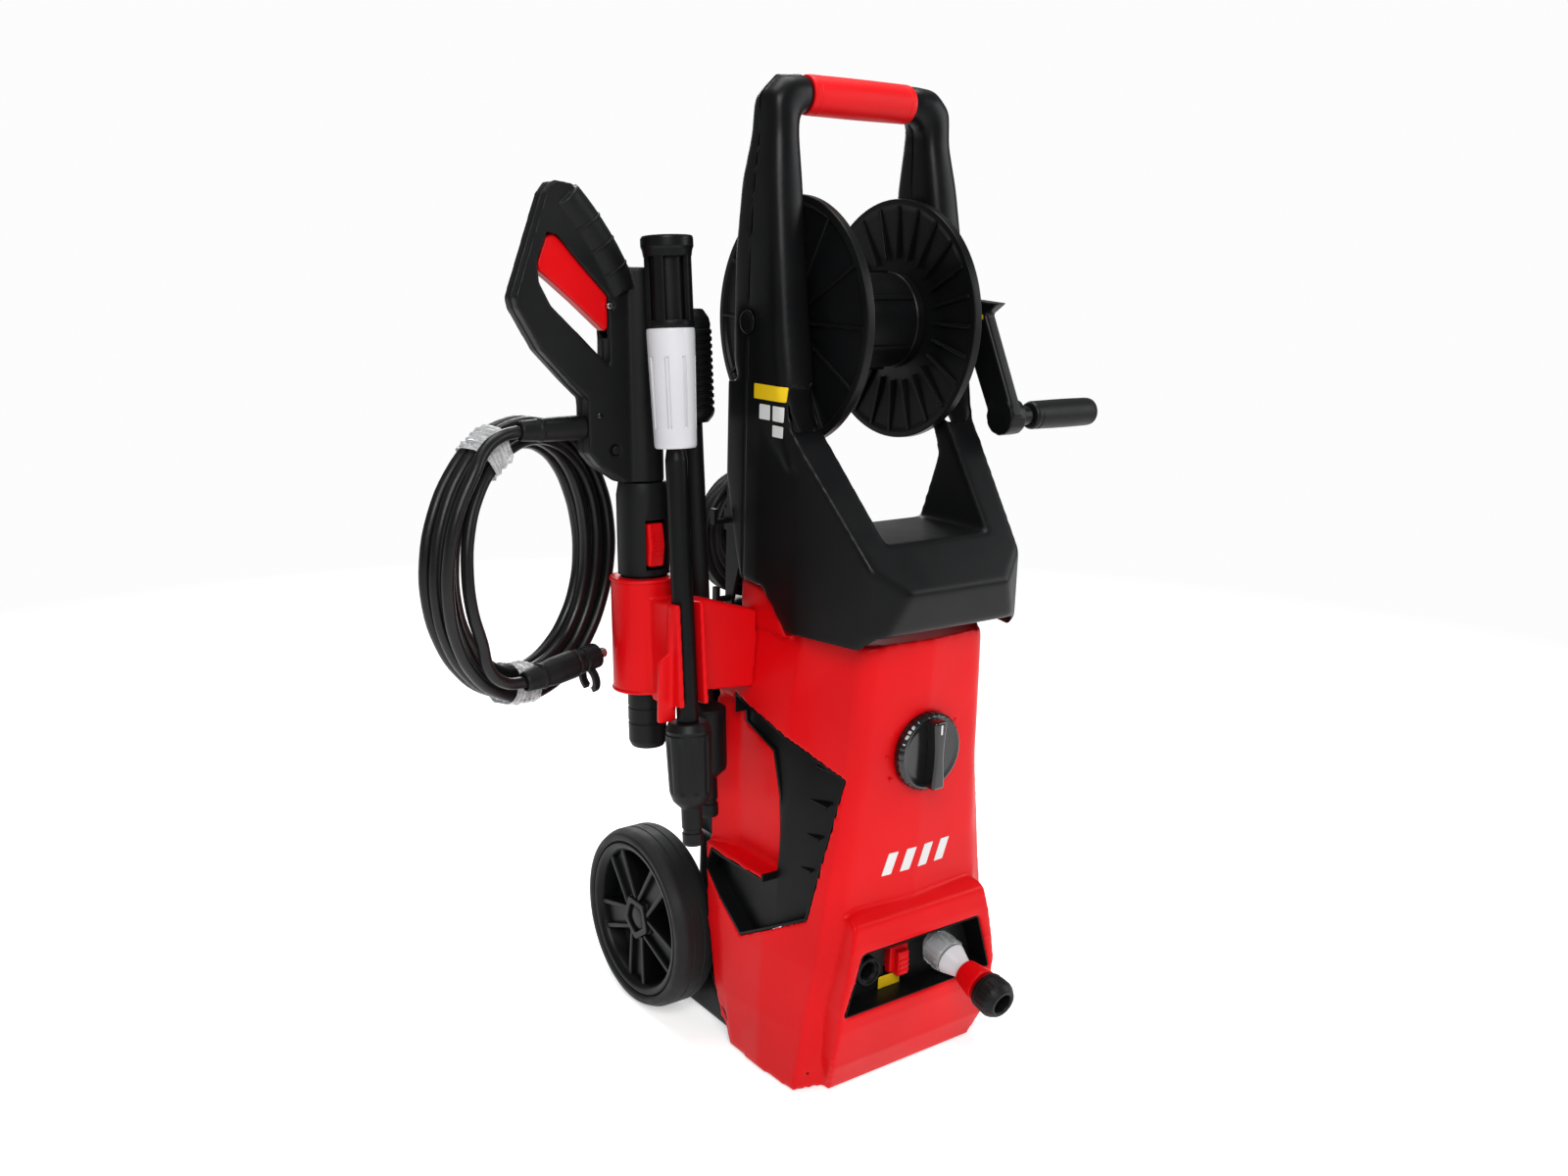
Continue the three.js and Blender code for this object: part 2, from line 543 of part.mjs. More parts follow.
// ---- inside the body ----------------------------------------------------------------
const motorStand = (radius, from, to) => rod(radius, from, to, 'z', 16).translate(0, 20, 0);
add('motor', 'motor', join(motorStand(58, 190, 330), motorStand(40, 182, 191), motorStand(8.3, 329, 345)));
const blades = [0, 1, 2, 3, 4].map((k) => box(8, 50, -1.2, 1.2, 348, 366)
  .rotateZ((2 * Math.PI * k) / 5));
add('motor_fan', 'black', cut(
  join(rod(12, 346, 366, 'z', 12), ring(48, 51, 346, 366, 'z', 16), ...blades).translate(0, 20, 0),
  rod(9.3, 340, 360, 'z', 12).translate(0, 20, 0),
));
add('pump', 'motor', join(
  rod(44, 96, 181, 'z', 16).translate(0, 20, 0),
  box(-40, 40, -40, -8, 92, 150), box(-30, 30, -10, 10, 30, 110),
));
const pipe = (points, radius) => tube(points, radius, 10, 8);
add('inlet_pipe', 'steel', pipe([[38, -86, 107], [38, -72, 105], [37, -60, 106], [36, -41, 108]], 8));
add('outlet_pipe', 'steel', pipe([[-48, -67, 110], [-44, -60, 110], [-34, -52, 111], [-32, -43, 111]], 7));

// ---- trigger gun --------------------------------------------------------------------
const gun = new THREE.Group();
gun.position.set(0, GUN.y, GUN.z);
gun.rotation.x = -GUN.lean;
washer.add(gun);
const fromGun = (points) => points.map(([x, z]) => [x, z - GUN.z]);
const fromBarrel = (points) => points.map(([z, radius]) => [radius, z - GUN.z]);
const acrossGun = (radius, at, from, to) => rod(radius, from, to, '-y', 12)
  .translate(at.x, 0, at.z - GUN.z);

// The side view of the handle, its guard and the valve housing, and the gap for the fingers.
const GUN_OUTLINE = fromGun([
  [-281, 793], [-273, 803], [-258, 801], [-215, 746], [-197, 714], [-186, 714], [-186, 552.6], [-215, 552.6],
  [-239, 568], [-249, 580], [-249, 626], [-262, 638], [-290, 667], [-310, 701], [-312, 710],
]);
const FINGER_GAP = fromGun([
  [-290, 721], [-292, 738], [-282, 762], [-273, 760], [-256, 741], [-227, 711], [-227, 653], [-251, 676],
  [-280, 703],
]);
const TRIGGER_SLOT = fromGun([
  [-293, 727], [-294, 745], [-286, 764], [-274, 778], [-258, 772], [-227, 736], [-211, 715], [-211, 679],
  [-229, 676], [-251, 689],
]);
const TRIGGER = fromGun([
  [-289, 732], [-289, 739], [-281, 759], [-274, 762], [-251, 744], [-221, 713], [-217, 703], [-220, 689],
  [-228, 682], [-232, 685], [-256, 706], [-277, 723],
]);
const PIVOT = { x: -225, z: 703 };
const LOCK = { x: -224, z: 582 };
const VALVE = 602;               // height of the hose inlet
const HANDLE = [[-211, 715], [-226, 744], [-247, 774], [-262, 791]];
const onBarrel = (thing) => thing.translate(GUN.x, 0, 0);
const spine = onBarrel(rod(19.5, 552.3 - GUN.z, 735 - GUN.z, 'z', 24));
const handleRound = tube(fromGun(HANDLE).map(([x, z]) => [x, 0, z]), 16.5, 20, 8);
const shell = cut(
  join(prism(GUN_OUTLINE, 'y', -11.7, 11.7, [FINGER_GAP]), spine, handleRound),
  prism(TRIGGER_SLOT, 'y', -7.4, 7.4),
  acrossGun(3 + GAP, PIVOT, -20, 20),
  acrossGun(4 + GAP, LOCK, -20, 20),
  rod(7.3, -265, -211, 'x').translate(0, 0, VALVE - GUN.z),
  onBarrel(rod(11, 0, 86)),
);
add('gun_shell_front', 'black', common(shell, box(-400, 0, -40, -GAP / 2, -100, 300)), gun);
add('gun_shell_rear', 'black', common(shell, box(-400, 0, GAP / 2, 40, -100, 300)), gun);
const trigger = cut(bevelled(TRIGGER, 'y', -7, 7, 1.5), acrossGun(3 + GAP, PIVOT, -20, 20));
add('gun_trigger', 'red', trigger, gun);
add('trigger_pin', 'steel', acrossGun(3, PIVOT, -11.5, 11.5), gun);
add('gun_lock', 'black', acrossGun(4, LOCK, -14, 14), gun);
const inletProfile = [
  [0, -308], [8.5, -308], [10.5, -272], [10.5, -249.6], [7, -249.6], [7, -214], [0, -214],
];
const hoseMouth = rod(HOSE.radius + 2 * GAP, -320, -290, 'x', 12);
const hoseInlet = cut(turned(inletProfile, 'x', 16), hoseMouth);
add('gun_hose_inlet', 'black', hoseInlet.translate([0, 0, VALVE - GUN.z]), gun);

// The barrel below the housing, with the button that frees the lance in its front.
const BARREL = [[365, 17.2], [470.5, 19.4], [471, GUN.barrel], [541, GUN.barrel], [552, 21]];
const BORE = 9;
const BUTTON = { z: 498, half: 19, wide: 8, back: 8, front: 25 };
const barrelProfile = fromBarrel([[365, 0], ...BARREL, [552, 0]]);
const buttonWell = box(-10, 10, -30, -BUTTON.back + 4, -22, 22);
add('gun_barrel', 'black', onBarrel(cut(
  turned(barrelProfile, 'z', 28),
  buttonWell.translate(0, 0, BUTTON.z - GUN.z),
  rod(BORE, 360 - GUN.z, 440 - GUN.z, 'z', 12),
)), gun);
const BUTTON_OUTLINE = [
  [-BUTTON.back, -BUTTON.half], [-22, -BUTTON.half], [-BUTTON.front, 0], [-22, BUTTON.half],
  [-BUTTON.back, BUTTON.half],
];
const button = bevelled(BUTTON_OUTLINE, 'x', -BUTTON.wide, BUTTON.wide, 1.5);
add('gun_release_button', 'red', onBarrel(button.translate(0, 0, BUTTON.z - GUN.z)), gun);
const muzzleProfile = fromBarrel([
  [312, BORE], [312, 15], [317, 17.2], [364.6, 17.2], [364.6, BORE], [312, BORE],
]);
add('gun_muzzle', 'black', onBarrel(turned(muzzleProfile, 'z', 28)), gun);

// ---- lances -------------------------------------------------------------------------
const lance = new THREE.Group();
lance.position.set(LANCE.x, LANCE.y, LANCE.z);
lance.rotation.x = -LANCE.lean;
washer.add(lance);
const fromLance = (points) => points.map(([z, radius]) => [radius, z - LANCE.z]);
const onLance = (points) => turned(fromLance(points), 'z', 14);
add('lance_tube', 'black', onLance([
  [284, 0], [284, 6], [351, 6], [351, LANCE.tube], [579, LANCE.tube], [587, 8], [692, 8], [692, 0],
]), lance);
add('lance_coupling', 'black', onLance([
  [283.7, 6.3], [283.7, 3], [239, 3], [239, 9.3], [273, 9.3], [281, 17], [287, 19], [339, 20.5], [350.6, 17],
  [350.6, 6.3], [283.7, 6.3],
]), lance);
add('nozzle_sleeve', 'white', onLance([[588, 8.3], [588, 18], [688, 20.5], [688, 8.3], [588, 8.3]]), lance);
const crownBars = [0, 1, 2, 3].map((k) => box(15.5, 20, -4, 4, 692 - LANCE.z, 752 - LANCE.z)
  .rotateZ((Math.PI * k) / 2 + 0.6));
add('nozzle_crown', 'black', join(
  onLance([[688.4, 8.4], [688.4, 20], [694.5, 20], [694.5, 8.4], [688.4, 8.4]]),
  onLance([[748, 16.5], [748, 20], [757, 22], [763, 22], [763, 18], [748, 16.5]]),
  ...crownBars,
), lance);

const turbo = new THREE.Group();
turbo.position.set(TURBO.x, TURBO.y, TURBO.z);
turbo.rotation.x = -TURBO.lean;
washer.add(turbo);
add('turbo_lance_tube', 'black', onLance([
  [238, 0], [238, 9], [275, 9], [283, 18.5], [341, 20], [348, 9], [601, 9], [601, 0],
]), turbo);
add('turbo_nozzle', 'black', onLance([
  [601.4, 0], [601.4, 15], [609, 20], [662, 20.5], [693, 18.5], [701, 13], [701, 0],
]), turbo);

// ---- holder for the gun and the lances ----------------------------------------------
// Moves a piece drawn about its own upright axis onto the leaning axis of a tool.
const along = (tool, thing) => thing.rotateX(-tool.lean).translate(tool.x, tool.y, tool.z);
const HOLDER_RING = { bottom: 366, top: 468, inner: 19.9, outer: 29.8 };
const ARM_FRONT_VIEW = [[-186, 457], [-156, 452], [-100, 434], [-100, 364], [-150, 368], [-186, 374]];
const WING = [[-215, 352], [-198, 352], [-198, 456], [-204, 456], [-206, 414], [-215, 408]];
const ringSpan = [HOLDER_RING.bottom - GUN.z, HOLDER_RING.top - GUN.z];
const lanceSlot = join(rod(10, -100, 100), box(-10, 10, -60, 0, -100, 100));
const turboSlot = join(rod(9.5, -100, 100), box(-9.5, 9.5, 0, 60, -100, 100));
const tilted = (tool, made) => made.rotate([(-tool.lean * 180) / Math.PI, 0, 0])
  .translate([tool.x, tool.y, tool.z]);
const holder = cut(
  join(
    along(GUN, rod(HOLDER_RING.outer, ...ringSpan, 'z', 32)),
    along(LANCE, box(-14.5, 14.5, -13, 34, -54, 36)),
    along(TURBO, box(-13.5, 13.5, -30, 8, -46, 12)),
    prism(ARM_FRONT_VIEW, 'y', -4, 13),
    prism(WING, 'y', -20, -14),
  ),
  along(GUN, rod(HOLDER_RING.inner, -260, -60, 'z', 32)),
  tilted(LANCE, lanceSlot),
  tilted(TURBO, turboSlot),
  frontLoft(-GAP, 0),
  box(-103.3, -80, -60, 60, 415, 470),
);
add('accessory_bracket', 'red', holder);

// ---- filler of the detergent tank, beside the reel ----------------------------------
add('detergent_cap', 'red', join(
  box(70, 87.5, -10, 20, 424.5, 466),
  box(76, 98, -10, 20, 464.5, 481),
  rod(10, 480, 487).translate(87, 5, 0),
));

// ---- hose to the gun ----------------------------------------------------------------
const ellipse = (wide, high, count = 24) => Array.from({ length: count }, (unused, k) => {
  const a = (2 * Math.PI * k) / count;
  return [wide * Math.cos(a), high * Math.sin(a)];
});
const coilOutline = (offset) => ellipse(COIL.width + offset, COIL.height + offset);
const hoseRing = bevelled(
  coilOutline(COIL.radial), 'y', -COIL.half, COIL.half, 5, [coilOutline(-COIL.radial)],
);
add('hose_coil', 'black', hoseRing.rotateZ(COIL.turn).translate(COIL.x, COIL.y, COIL.z));
const cord = (points, radius, steps = 12) => tube(points, radius, 8, steps);
const HOSE_LEAD = [
  [-291, 52.3, 602], [-302, 52.3, 602], [-313, 52.1, 601.8], [-328, 48, 599], [-343, 41, 589],
  [-354, 37, 575],
];
add('hose_lead', 'black', cord(HOSE_LEAD, HOSE.radius));
const HOSE_TAIL = [
  [-352, 38, 430], [-342, 38.5, 408], [-327, 45, 390], [-309, 49.8, 386.2], [-295.2, 51.2, 388.3],
];
add('hose_tail', 'black', cord(HOSE_TAIL, HOSE.radius));

// Bend guard, coupling with its steel spigot, and the spring clip that locks it.
const FITTING = { x: -307, y: 50, z: 386.5, turn: 0.1, rise: 0.153 };
const clip = cut(
  ring(8, 13, -3, 3, 'x', 16),
  box(-10, 10, -5, 5, -30, 0),
);
const fittingBody = turned([
  [0, 14], [6, 14], [6, -1], [9, -1], [12.4, 28], [12.4, 50], [11, 53], [11, 75], [4.5, 75], [4.5, 84],
  [0, 84], [0, 14],
], 'x', 16);
const fitting = join(fittingBody, clip.translate([64, 0, -19]), box(61, 67, -5, 5, -12, -7));
const tilt = [0, (-FITTING.rise * 180) / Math.PI, 0];
const swing = [0, 0, (FITTING.turn * 180) / Math.PI];
add('hose_end_fitting', 'black', fitting.rotate(tilt).rotate(swing)
  .translate([FITTING.x, FITTING.y, FITTING.z]));

// ---- power cord ---------------------------------------------------------------------
const hankRing = ring(HANK.middle - HANK.radial, HANK.middle + HANK.radial, -HANK.half, HANK.half, '-y', 22);
add('power_cord_coil', 'black', hankRing.translate(HANK.x, HANK.y, HANK.z));
const CORD_LEAD = [
  [25, 76, 412], [25, 76, 434], [25, 76, 455], [22, 76, 468], [16, 76, 480], [12.6, 76, 492],
  [10.6, 76, 504], [4.2, 76, 520.6], [-6.6, 76, 534.2],
];
add('power_cord_lead', 'black', cord(CORD_LEAD, LEAD.radius));
const CORD_TAIL = [
  [-58, 97.5, 443.5], [-46, 97.5, 442.5], [-33, 100, 439.5], [-22, 105, 431.5], [-15.5, 110.5, 419],
  [-12, 116, 403], [-9, 123, 384], [-7, 133.4, 356], [-7, 136.2, 336],
];
add('power_cord_tail', 'black', cord(CORD_TAIL, LEAD.radius, 14));
const PLUG = { x: -7, y: 137, z: 330, tilt: 8 };
const plugBody = cut(
  join(
    turned([[0, -38], [14, -38], [15.5, -34], [15.5, -16], [9, -4], [6.8, 16], [0, 16]]),
    rod(2.4, -57, -37, 'z', 8).translate(-9.5, 0, 0),
    rod(2.4, -57, -37, 'z', 8).translate(9.5, 0, 0),
  ),
  rod(LEAD.radius + 3 * GAP, 2, 30, 'z', 12),
);
add('power_plug', 'black', plugBody.rotate([PLUG.tilt, 0, 0]).translate([PLUG.x, PLUG.y, PLUG.z]));
const RELIEF_BORE = LEAD.radius + 2 * GAP;
const reliefProfile = [
  [RELIEF_BORE, -6], [6, -6], [6, GAP], [9, GAP], [9, 5], [5.6, 30], [RELIEF_BORE, 30], [RELIEF_BORE, -6],
];
const relief = turned(reliefProfile).translate(CORD_EXIT.x, CORD_EXIT.y, CORD_EXIT.z);
add('cord_strain_relief', 'black', relief);

// Plate inside the left side panel with the peg the cord hangs on and two small hooks.
const HOOK_PLATE = [
  [6, 476], [4, 540], [8, 600], [36, 630], [42, 630], [42, 430], [33, 430], [22, 470],
];
const PEG = { z: HANK.z + HANK.middle - HANK.radial - 6.5, radius: 6, from: 42, to: 98 };
const smallHook = (y, z) => join(box(-121, -104, y, y + 7, z, z + 4), box(-121, -117, y, y + 7, z, z + 14));
add('cord_hook', 'black', join(
  prism(HOOK_PLATE, 'x', WALL + GAP - POST_OUTER, -103.5),
  box(WALL + GAP - POST_OUTER, HANK.x + 6, 39, 46, PEG.z - 10, PEG.z + 10),
  rod(PEG.radius, -PEG.to, -PEG.from, '-y', 14).translate(HANK.x, 0, PEG.z),
  smallHook(40.5, 508), smallHook(35, 436),
));

washer.name = 'pressure_washer';
export default washer;
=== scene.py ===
"""The looks of a wheeled pressure washer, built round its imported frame.

Lengths in this file are millimetres unless a name or comment says otherwise, and MM turns them into metres.
+Z is up, the front faces -Y and +X is to the right of someone facing it.
"""
import json
import math

import bmesh
import bpy
import numpy as np
from mathutils import Matrix, Vector
from mathutils.bvhtree import BVHTree


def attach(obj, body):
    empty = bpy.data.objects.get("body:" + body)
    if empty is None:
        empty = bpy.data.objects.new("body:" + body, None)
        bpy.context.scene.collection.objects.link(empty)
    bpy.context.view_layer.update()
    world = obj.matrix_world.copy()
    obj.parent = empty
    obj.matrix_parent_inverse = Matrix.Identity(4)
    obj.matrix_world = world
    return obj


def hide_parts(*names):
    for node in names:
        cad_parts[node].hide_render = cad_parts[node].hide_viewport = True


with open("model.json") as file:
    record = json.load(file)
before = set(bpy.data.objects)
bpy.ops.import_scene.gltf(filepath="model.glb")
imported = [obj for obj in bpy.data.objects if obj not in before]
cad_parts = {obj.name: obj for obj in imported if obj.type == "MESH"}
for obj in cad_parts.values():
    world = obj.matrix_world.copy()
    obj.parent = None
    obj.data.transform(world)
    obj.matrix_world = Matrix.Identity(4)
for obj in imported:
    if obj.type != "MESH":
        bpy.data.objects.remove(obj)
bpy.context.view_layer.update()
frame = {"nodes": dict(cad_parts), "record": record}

MM = 0.001
NODES = frame["nodes"]
BODY_OF = {node: body for body, members in frame["record"]["behaviour"]["bodies"].items() for node in members}

# ---- driving dimensions ---------------------------------------------------------------
WHEEL = {"y": 129, "z": 91}
REEL = {"y": 10.8, "z": 691, "web": 61.3}
CRANK = {"y": -78, "z": 607}
CROSSBAR = {"y": 7, "z": 882, "half": 57.5}
KNOB = {"y": -124.5, "z": 319, "scale": 43}
PANEL_Y = -108
OUTLET = {"x": -48, "z": 110}
INLET = {"x": 38, "z": 112, "droop": 0.21}
GUN = {"x": -192, "y": 49.5, "z": 548, "lean": 0.0524}
LANCE = {"x": -188.5, "y": -16.3, "z": 420, "lean": 0.0995}
TURBO = {"x": -139.2, "y": 33, "z": 420, "lean": 0.0995}
HOSE = {"diameter": 10.5, "length": 5000, "coil": (-291, 83, 486), "wide": 92, "high": 110, "turn": 0.35}
LEAD = {"diameter": 7.5, "length": 5000, "coil": (-52, 76, 488), "middle": 45}
CORD_EXIT = (25, 76, 424)
CAMERA = {"place": (-843.5, -1032.3, 760.8), "yaw": 36.83, "pitch": 13.5, "roll": 1.56, "lens": 33.27}


# ---- camera ---------------------------------------------------------------------------
def make_camera():
    place = Vector(CAMERA["place"]) * MM
    yaw, pitch, roll = (math.radians(CAMERA[turn]) for turn in ("yaw", "pitch", "roll"))
    ahead = Vector((math.sin(yaw) * math.cos(pitch), math.cos(yaw) * math.cos(pitch), -math.sin(pitch)))
    right = Vector((math.cos(yaw), -math.sin(yaw), 0))
    up = right.cross(ahead)
    side = right * math.cos(roll) + up * math.sin(roll)
    above = up * math.cos(roll) - right * math.sin(roll)
    data = bpy.data.cameras.new("camera")
    data.sensor_width = 36
    data.lens = CAMERA["lens"]
    data.clip_start, data.clip_end = 0.01, 50
    camera = bpy.data.objects.new("camera", data)
    bpy.context.scene.collection.objects.link(camera)
    turn = Matrix((side, above, -ahead)).transposed().to_4x4()
    camera.matrix_world = Matrix.Translation(place) @ turn
    bpy.context.scene.camera = camera


make_camera()


# ---- materials ------------------------------------------------------------------------
class Nodes:
    """A short way to write one material's node tree."""

    def __init__(self, name):
        self.material = bpy.data.materials.new(name)
        self.material.use_nodes = True
        self.tree = self.material.node_tree
        self.shader = self.tree.nodes["Principled BSDF"]
        self.place = self.add("ShaderNodeTexCoord").outputs["Object"]

    def add(self, kind, **values):
        node = self.tree.nodes.new(kind)
        for key, value in values.items():
            if hasattr(node, key):
                setattr(node, key, value)
            else:
                node.inputs[key.replace("_", " ")].default_value = value
        return node

    def link(self, source, target):
        self.tree.links.new(source, target)

    def noise(self, scale, detail=3.0, stretch=(1, 1, 1)):
        spread = self.add("ShaderNodeMapping")
        spread.inputs["Scale"].default_value = stretch
        self.link(self.place, spread.inputs["Vector"])
        made = self.add("ShaderNodeTexNoise", Scale=scale, Detail=detail)
        self.link(spread.outputs["Vector"], made.inputs["Vector"])
        return made.outputs["Fac"]

    def ranged(self, value, low, high, start=0.3, end=0.7):
        made = self.add("ShaderNodeMapRange")
        for key, number in zip(("From Min", "From Max", "To Min", "To Max"), (start, end, low, high)):
            made.inputs[key].default_value = number
        self.link(value, made.inputs["Value"])
        return made.outputs["Result"]

    def mixed(self, factor, first, second):
        made = self.add("ShaderNodeMix", data_type="RGBA")
        self.link(factor, made.inputs["Factor"])
        for slot, colour in ((6, first), (7, second)):
            if isinstance(colour, tuple):
                made.inputs[slot].default_value = (*colour, 1)
            else:
                self.link(colour, made.inputs[slot])
        return made.outputs[2]

    def bumps(self, *layers):
        """Each layer is (height, depth in metres); a later one lies on the one before."""
        normal = None
        for height, depth in layers:
            bump = self.add("ShaderNodeBump", Strength=1.0, Distance=depth)
            self.link(height, bump.inputs["Height"])
            if normal:
                self.link(normal, bump.inputs["Normal"])
            normal = bump.outputs["Normal"]
        self.link(normal, self.shader.inputs["Normal"])

    def set(self, **values):
        for key, value in values.items():
            target = self.shader.inputs[key.replace("_", " ")]
            if isinstance(value, bpy.types.NodeSocket):
                self.link(value, target)
            else:
                target.default_value = value
        return self.material


def shade(colour, factor):
    return tuple(c * factor for c in colour)


def moulded(name, colour, roughness, grain, depth, worn=0.0, coat=0.0, dust=0.0, shine=0.5):
    """Moulded plastic: a fine spark-eroded grain, slow colour drift, uneven gloss, paler worn edges."""
    n = Nodes(name)
    drift = n.ranged(n.noise(9, 4), 0, 1)
    base = n.mixed(drift, shade(colour, 0.93), shade(colour, 1.05))
    if worn:
        edge = n.add("ShaderNodeNewGeometry").outputs["Pointiness"]
        scuffed = n.add("ShaderNodeMath", operation="MULTIPLY")
        n.link(n.ranged(edge, 0, worn, 0.53, 0.62), scuffed.inputs[0])
        n.link(n.ranged(n.noise(120, 5), 0, 1, 0.45, 0.65), scuffed.inputs[1])
        base = n.mixed(scuffed.outputs[0], base, tuple(min(1, c * 1.5 + 0.08) for c in colour))
    if dust:
        settled = n.ranged(n.noise(38, 8), 0, dust, 0.5, 0.8)
        base = n.mixed(settled, base, (0.32, 0.31, 0.29))
    hair = n.noise(260, 2, (1, 1, 0.06))
    gloss = n.ranged(n.noise(24, 5), roughness * 0.85, roughness * 1.18)
    n.bumps((n.noise(grain, 2), depth), (n.noise(16, 2), 0.00012), (hair, depth * 0.25))
    return n.set(
        Base_Color=base, Roughness=gloss, Specular_IOR_Level=shine, Coat_Weight=coat, Coat_Roughness=0.12,
    )


def rubber(name, colour, roughness, grain, sheen):
    n = Nodes(name)
    cloud = n.ranged(n.noise(30, 6), 0, 1)
    base = n.mixed(cloud, shade(colour, 0.8), shade(colour, 1.35))
    n.bumps((n.noise(grain, 3), 0.00005), (n.noise(60, 3), 0.0001))
    gloss = n.ranged(n.noise(45, 5), roughness - 0.06, roughness + 0.08)
    return n.set(
        Base_Color=base, Roughness=gloss, Specular_IOR_Level=0.4, Sheen_Weight=sheen, Sheen_Roughness=0.5,
    )


def metal(name, colour, roughness, stretch, depth):
    """Turned or drawn metal: streaks along one way, a little tarnish."""
    n = Nodes(name)
    streak = n.noise(420, 3, stretch)
    tarnish = n.ranged(n.noise(35, 6), 0, 1, 0.45, 0.75)
    base = n.mixed(tarnish, colour, shade(colour, 0.72))
    n.bumps((streak, depth), (n.noise(90, 3), depth))
    return n.set(Base_Color=base, Metallic=1.0, Roughness=n.ranged(streak, roughness * 0.7, roughness * 1.4))


def clear(name, colour, roughness, depth, share):
    """See-through plastic with slight waves; share is how much light it lets by."""
    n = Nodes(name)
    waves = n.noise(70, 4)
    base = n.mixed(n.ranged(waves, 0, 1), colour, shade(colour, 0.9))
    n.bumps((n.noise(180, 4), depth), (waves, depth))
    return n.set(
        Base_Color=base, Roughness=n.ranged(waves, roughness, roughness * 2), IOR=1.46,
        Transmission_Weight=share,
    )


# Each finish is (material, slot). Colours are linear.
RED = (0.60, 0.0025, 0.006)
BLACK = (0.0048, 0.0051, 0.0058)
DARK = (0.0066, 0.0070, 0.0076)
FINISH = {
    "red": (moulded("red_shell", RED, 0.36, 2600, 0.000012, shine=0.2), "red_shell"),
    "red_soft": (moulded("red_grip", RED, 0.46, 1500, 0.00004, shine=0.3), "red_shell"),
    "black": (moulded("black_shell", BLACK, 0.36, 1900, 0.00002, dust=0.004, shine=0.22), "black_shell"),
    "dark": (moulded("housing", DARK, 0.46, 1500, 0.00004, dust=0.006, shine=0.26), "black_shell"),
    "gloss": (moulded("gloss_black", (0.006, 0.006, 0.007), 0.2, 3000, 0.000006, coat=0.5), "gloss_black"),
    "tyre": (rubber("tyre_rubber", (0.008, 0.0085, 0.009), 0.6, 900, 0.03), "tyre_rubber"),
    "hose": (rubber("hose_rubber", (0.005, 0.0052, 0.006), 0.34, 1300, 0.02), "hose_rubber"),
    "lead": (rubber("cord_rubber", (0.008, 0.008, 0.009), 0.5, 1200, 0.03), "hose_rubber"),
    "white": (moulded("white_plastic", (0.56, 0.56, 0.585), 0.38, 2200, 0.00002, dust=0.06), "white_plastic"),
    "steel": (metal("steel", (0.56, 0.57, 0.58), 0.28, (0.05, 1, 1), 0.00001), "steel"),
    "alloy": (metal("motor_alloy", (0.33, 0.34, 0.35), 0.5, (1, 1, 1), 0.00008), "motor_alloy"),
    "clear": (clear("clear_plastic", (0.93, 0.95, 0.96), 0.08, 0.00004, 0.8), "clear_plastic"),
    "film": (clear("tie_film", (0.90, 0.91, 0.92), 0.2, 0.0008, 0.62), "clear_plastic"),
    "yellow": (moulded("label_yellow", (0.72, 0.50, 0.01), 0.36, 2500, 0.00001), "white_plastic"),
    "print": (moulded("label_white", (0.62, 0.62, 0.62), 0.4, 2500, 0.00001), "white_plastic"),
}


# ---- making pieces --------------------------------------------------------------------
AS_IT_IS = Matrix.Identity(4)


def dress(name, mesh, body, finish, replaces=(), sharp=38):
    """Puts a mesh on its body with its finish and smooth shading up to the angle sharp."""
    piece = bpy.data.objects.new(name, mesh)
    bpy.context.scene.collection.objects.link(piece)
    material, slot = FINISH[finish]
    mesh.materials.clear()
    mesh.materials.append(material)
    mesh.shade_smooth()
    mesh.set_sharp_from_angle(angle=math.radians(sharp))
    weighted = piece.modifiers.new("weighted", "WEIGHTED_NORMAL")
    weighted.keep_sharp = True
    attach(piece, body)
    if replaces:
        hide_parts(*replaces)
    return piece


def show(name, bm, place, body, finish, replaces=()):
    """Dresses a shape in millimetres, placed by a matrix in millimetres."""
    bm.transform(place)
    bm.transform(Matrix.Scale(MM, 4))
    bmesh.ops.recalc_face_normals(bm, faces=bm.faces)
    mesh = bpy.data.meshes.new(name)
    bm.to_mesh(mesh)
    bm.free()
    return dress(name, mesh, body, finish, replaces)


def joined(*parts):
    """One bmesh of several, each (bmesh, matrix) or a bmesh alone."""
    whole = bmesh.new()
    for part in parts:
        bm, placed = part if isinstance(part, tuple) else (part, AS_IT_IS)
        bm.transform(placed)
        mesh = bpy.data.meshes.new("part")
        bm.to_mesh(mesh)
        bm.free()
        whole.from_mesh(mesh)
        bpy.data.meshes.remove(mesh)
    return whole


def eased(points, radius, closed, steps=3):
    """A polyline with its corners rounded by about radius, or by a corner's own third value."""
    made = []
    count = len(points)
    for i, point in enumerate(points):
        here = Vector(point[:2])
        wanted = point[2] if len(point) > 2 else radius
        if not closed and i in (0, count - 1) or wanted <= 0:
            made.append(here)
            continue
        before, after = Vector(points[i - 1][:2]), Vector(points[(i + 1) % count][:2])
        to_before, to_after = before - here, after - here
        reach = min(wanted, 0.45 * to_before.length, 0.45 * to_after.length)
        start, end = here + to_before.normalized() * reach, here + to_after.normalized() * reach
        for k in range(steps + 1):
            t = k / steps
            made.append(start * (1 - t) ** 2 + here * (2 * t * (1 - t)) + end * t ** 2)
    return made


STANDING = {
    "z": Matrix.Identity(4),
    "x": Matrix(((0, 0, 1, 0), (0, 1, 0, 0), (-1, 0, 0, 0), (0, 0, 0, 1))),
    "-y": Matrix(((1, 0, 0, 0), (0, 0, -1, 0), (0, 1, 0, 0), (0, 0, 0, 1))),
}


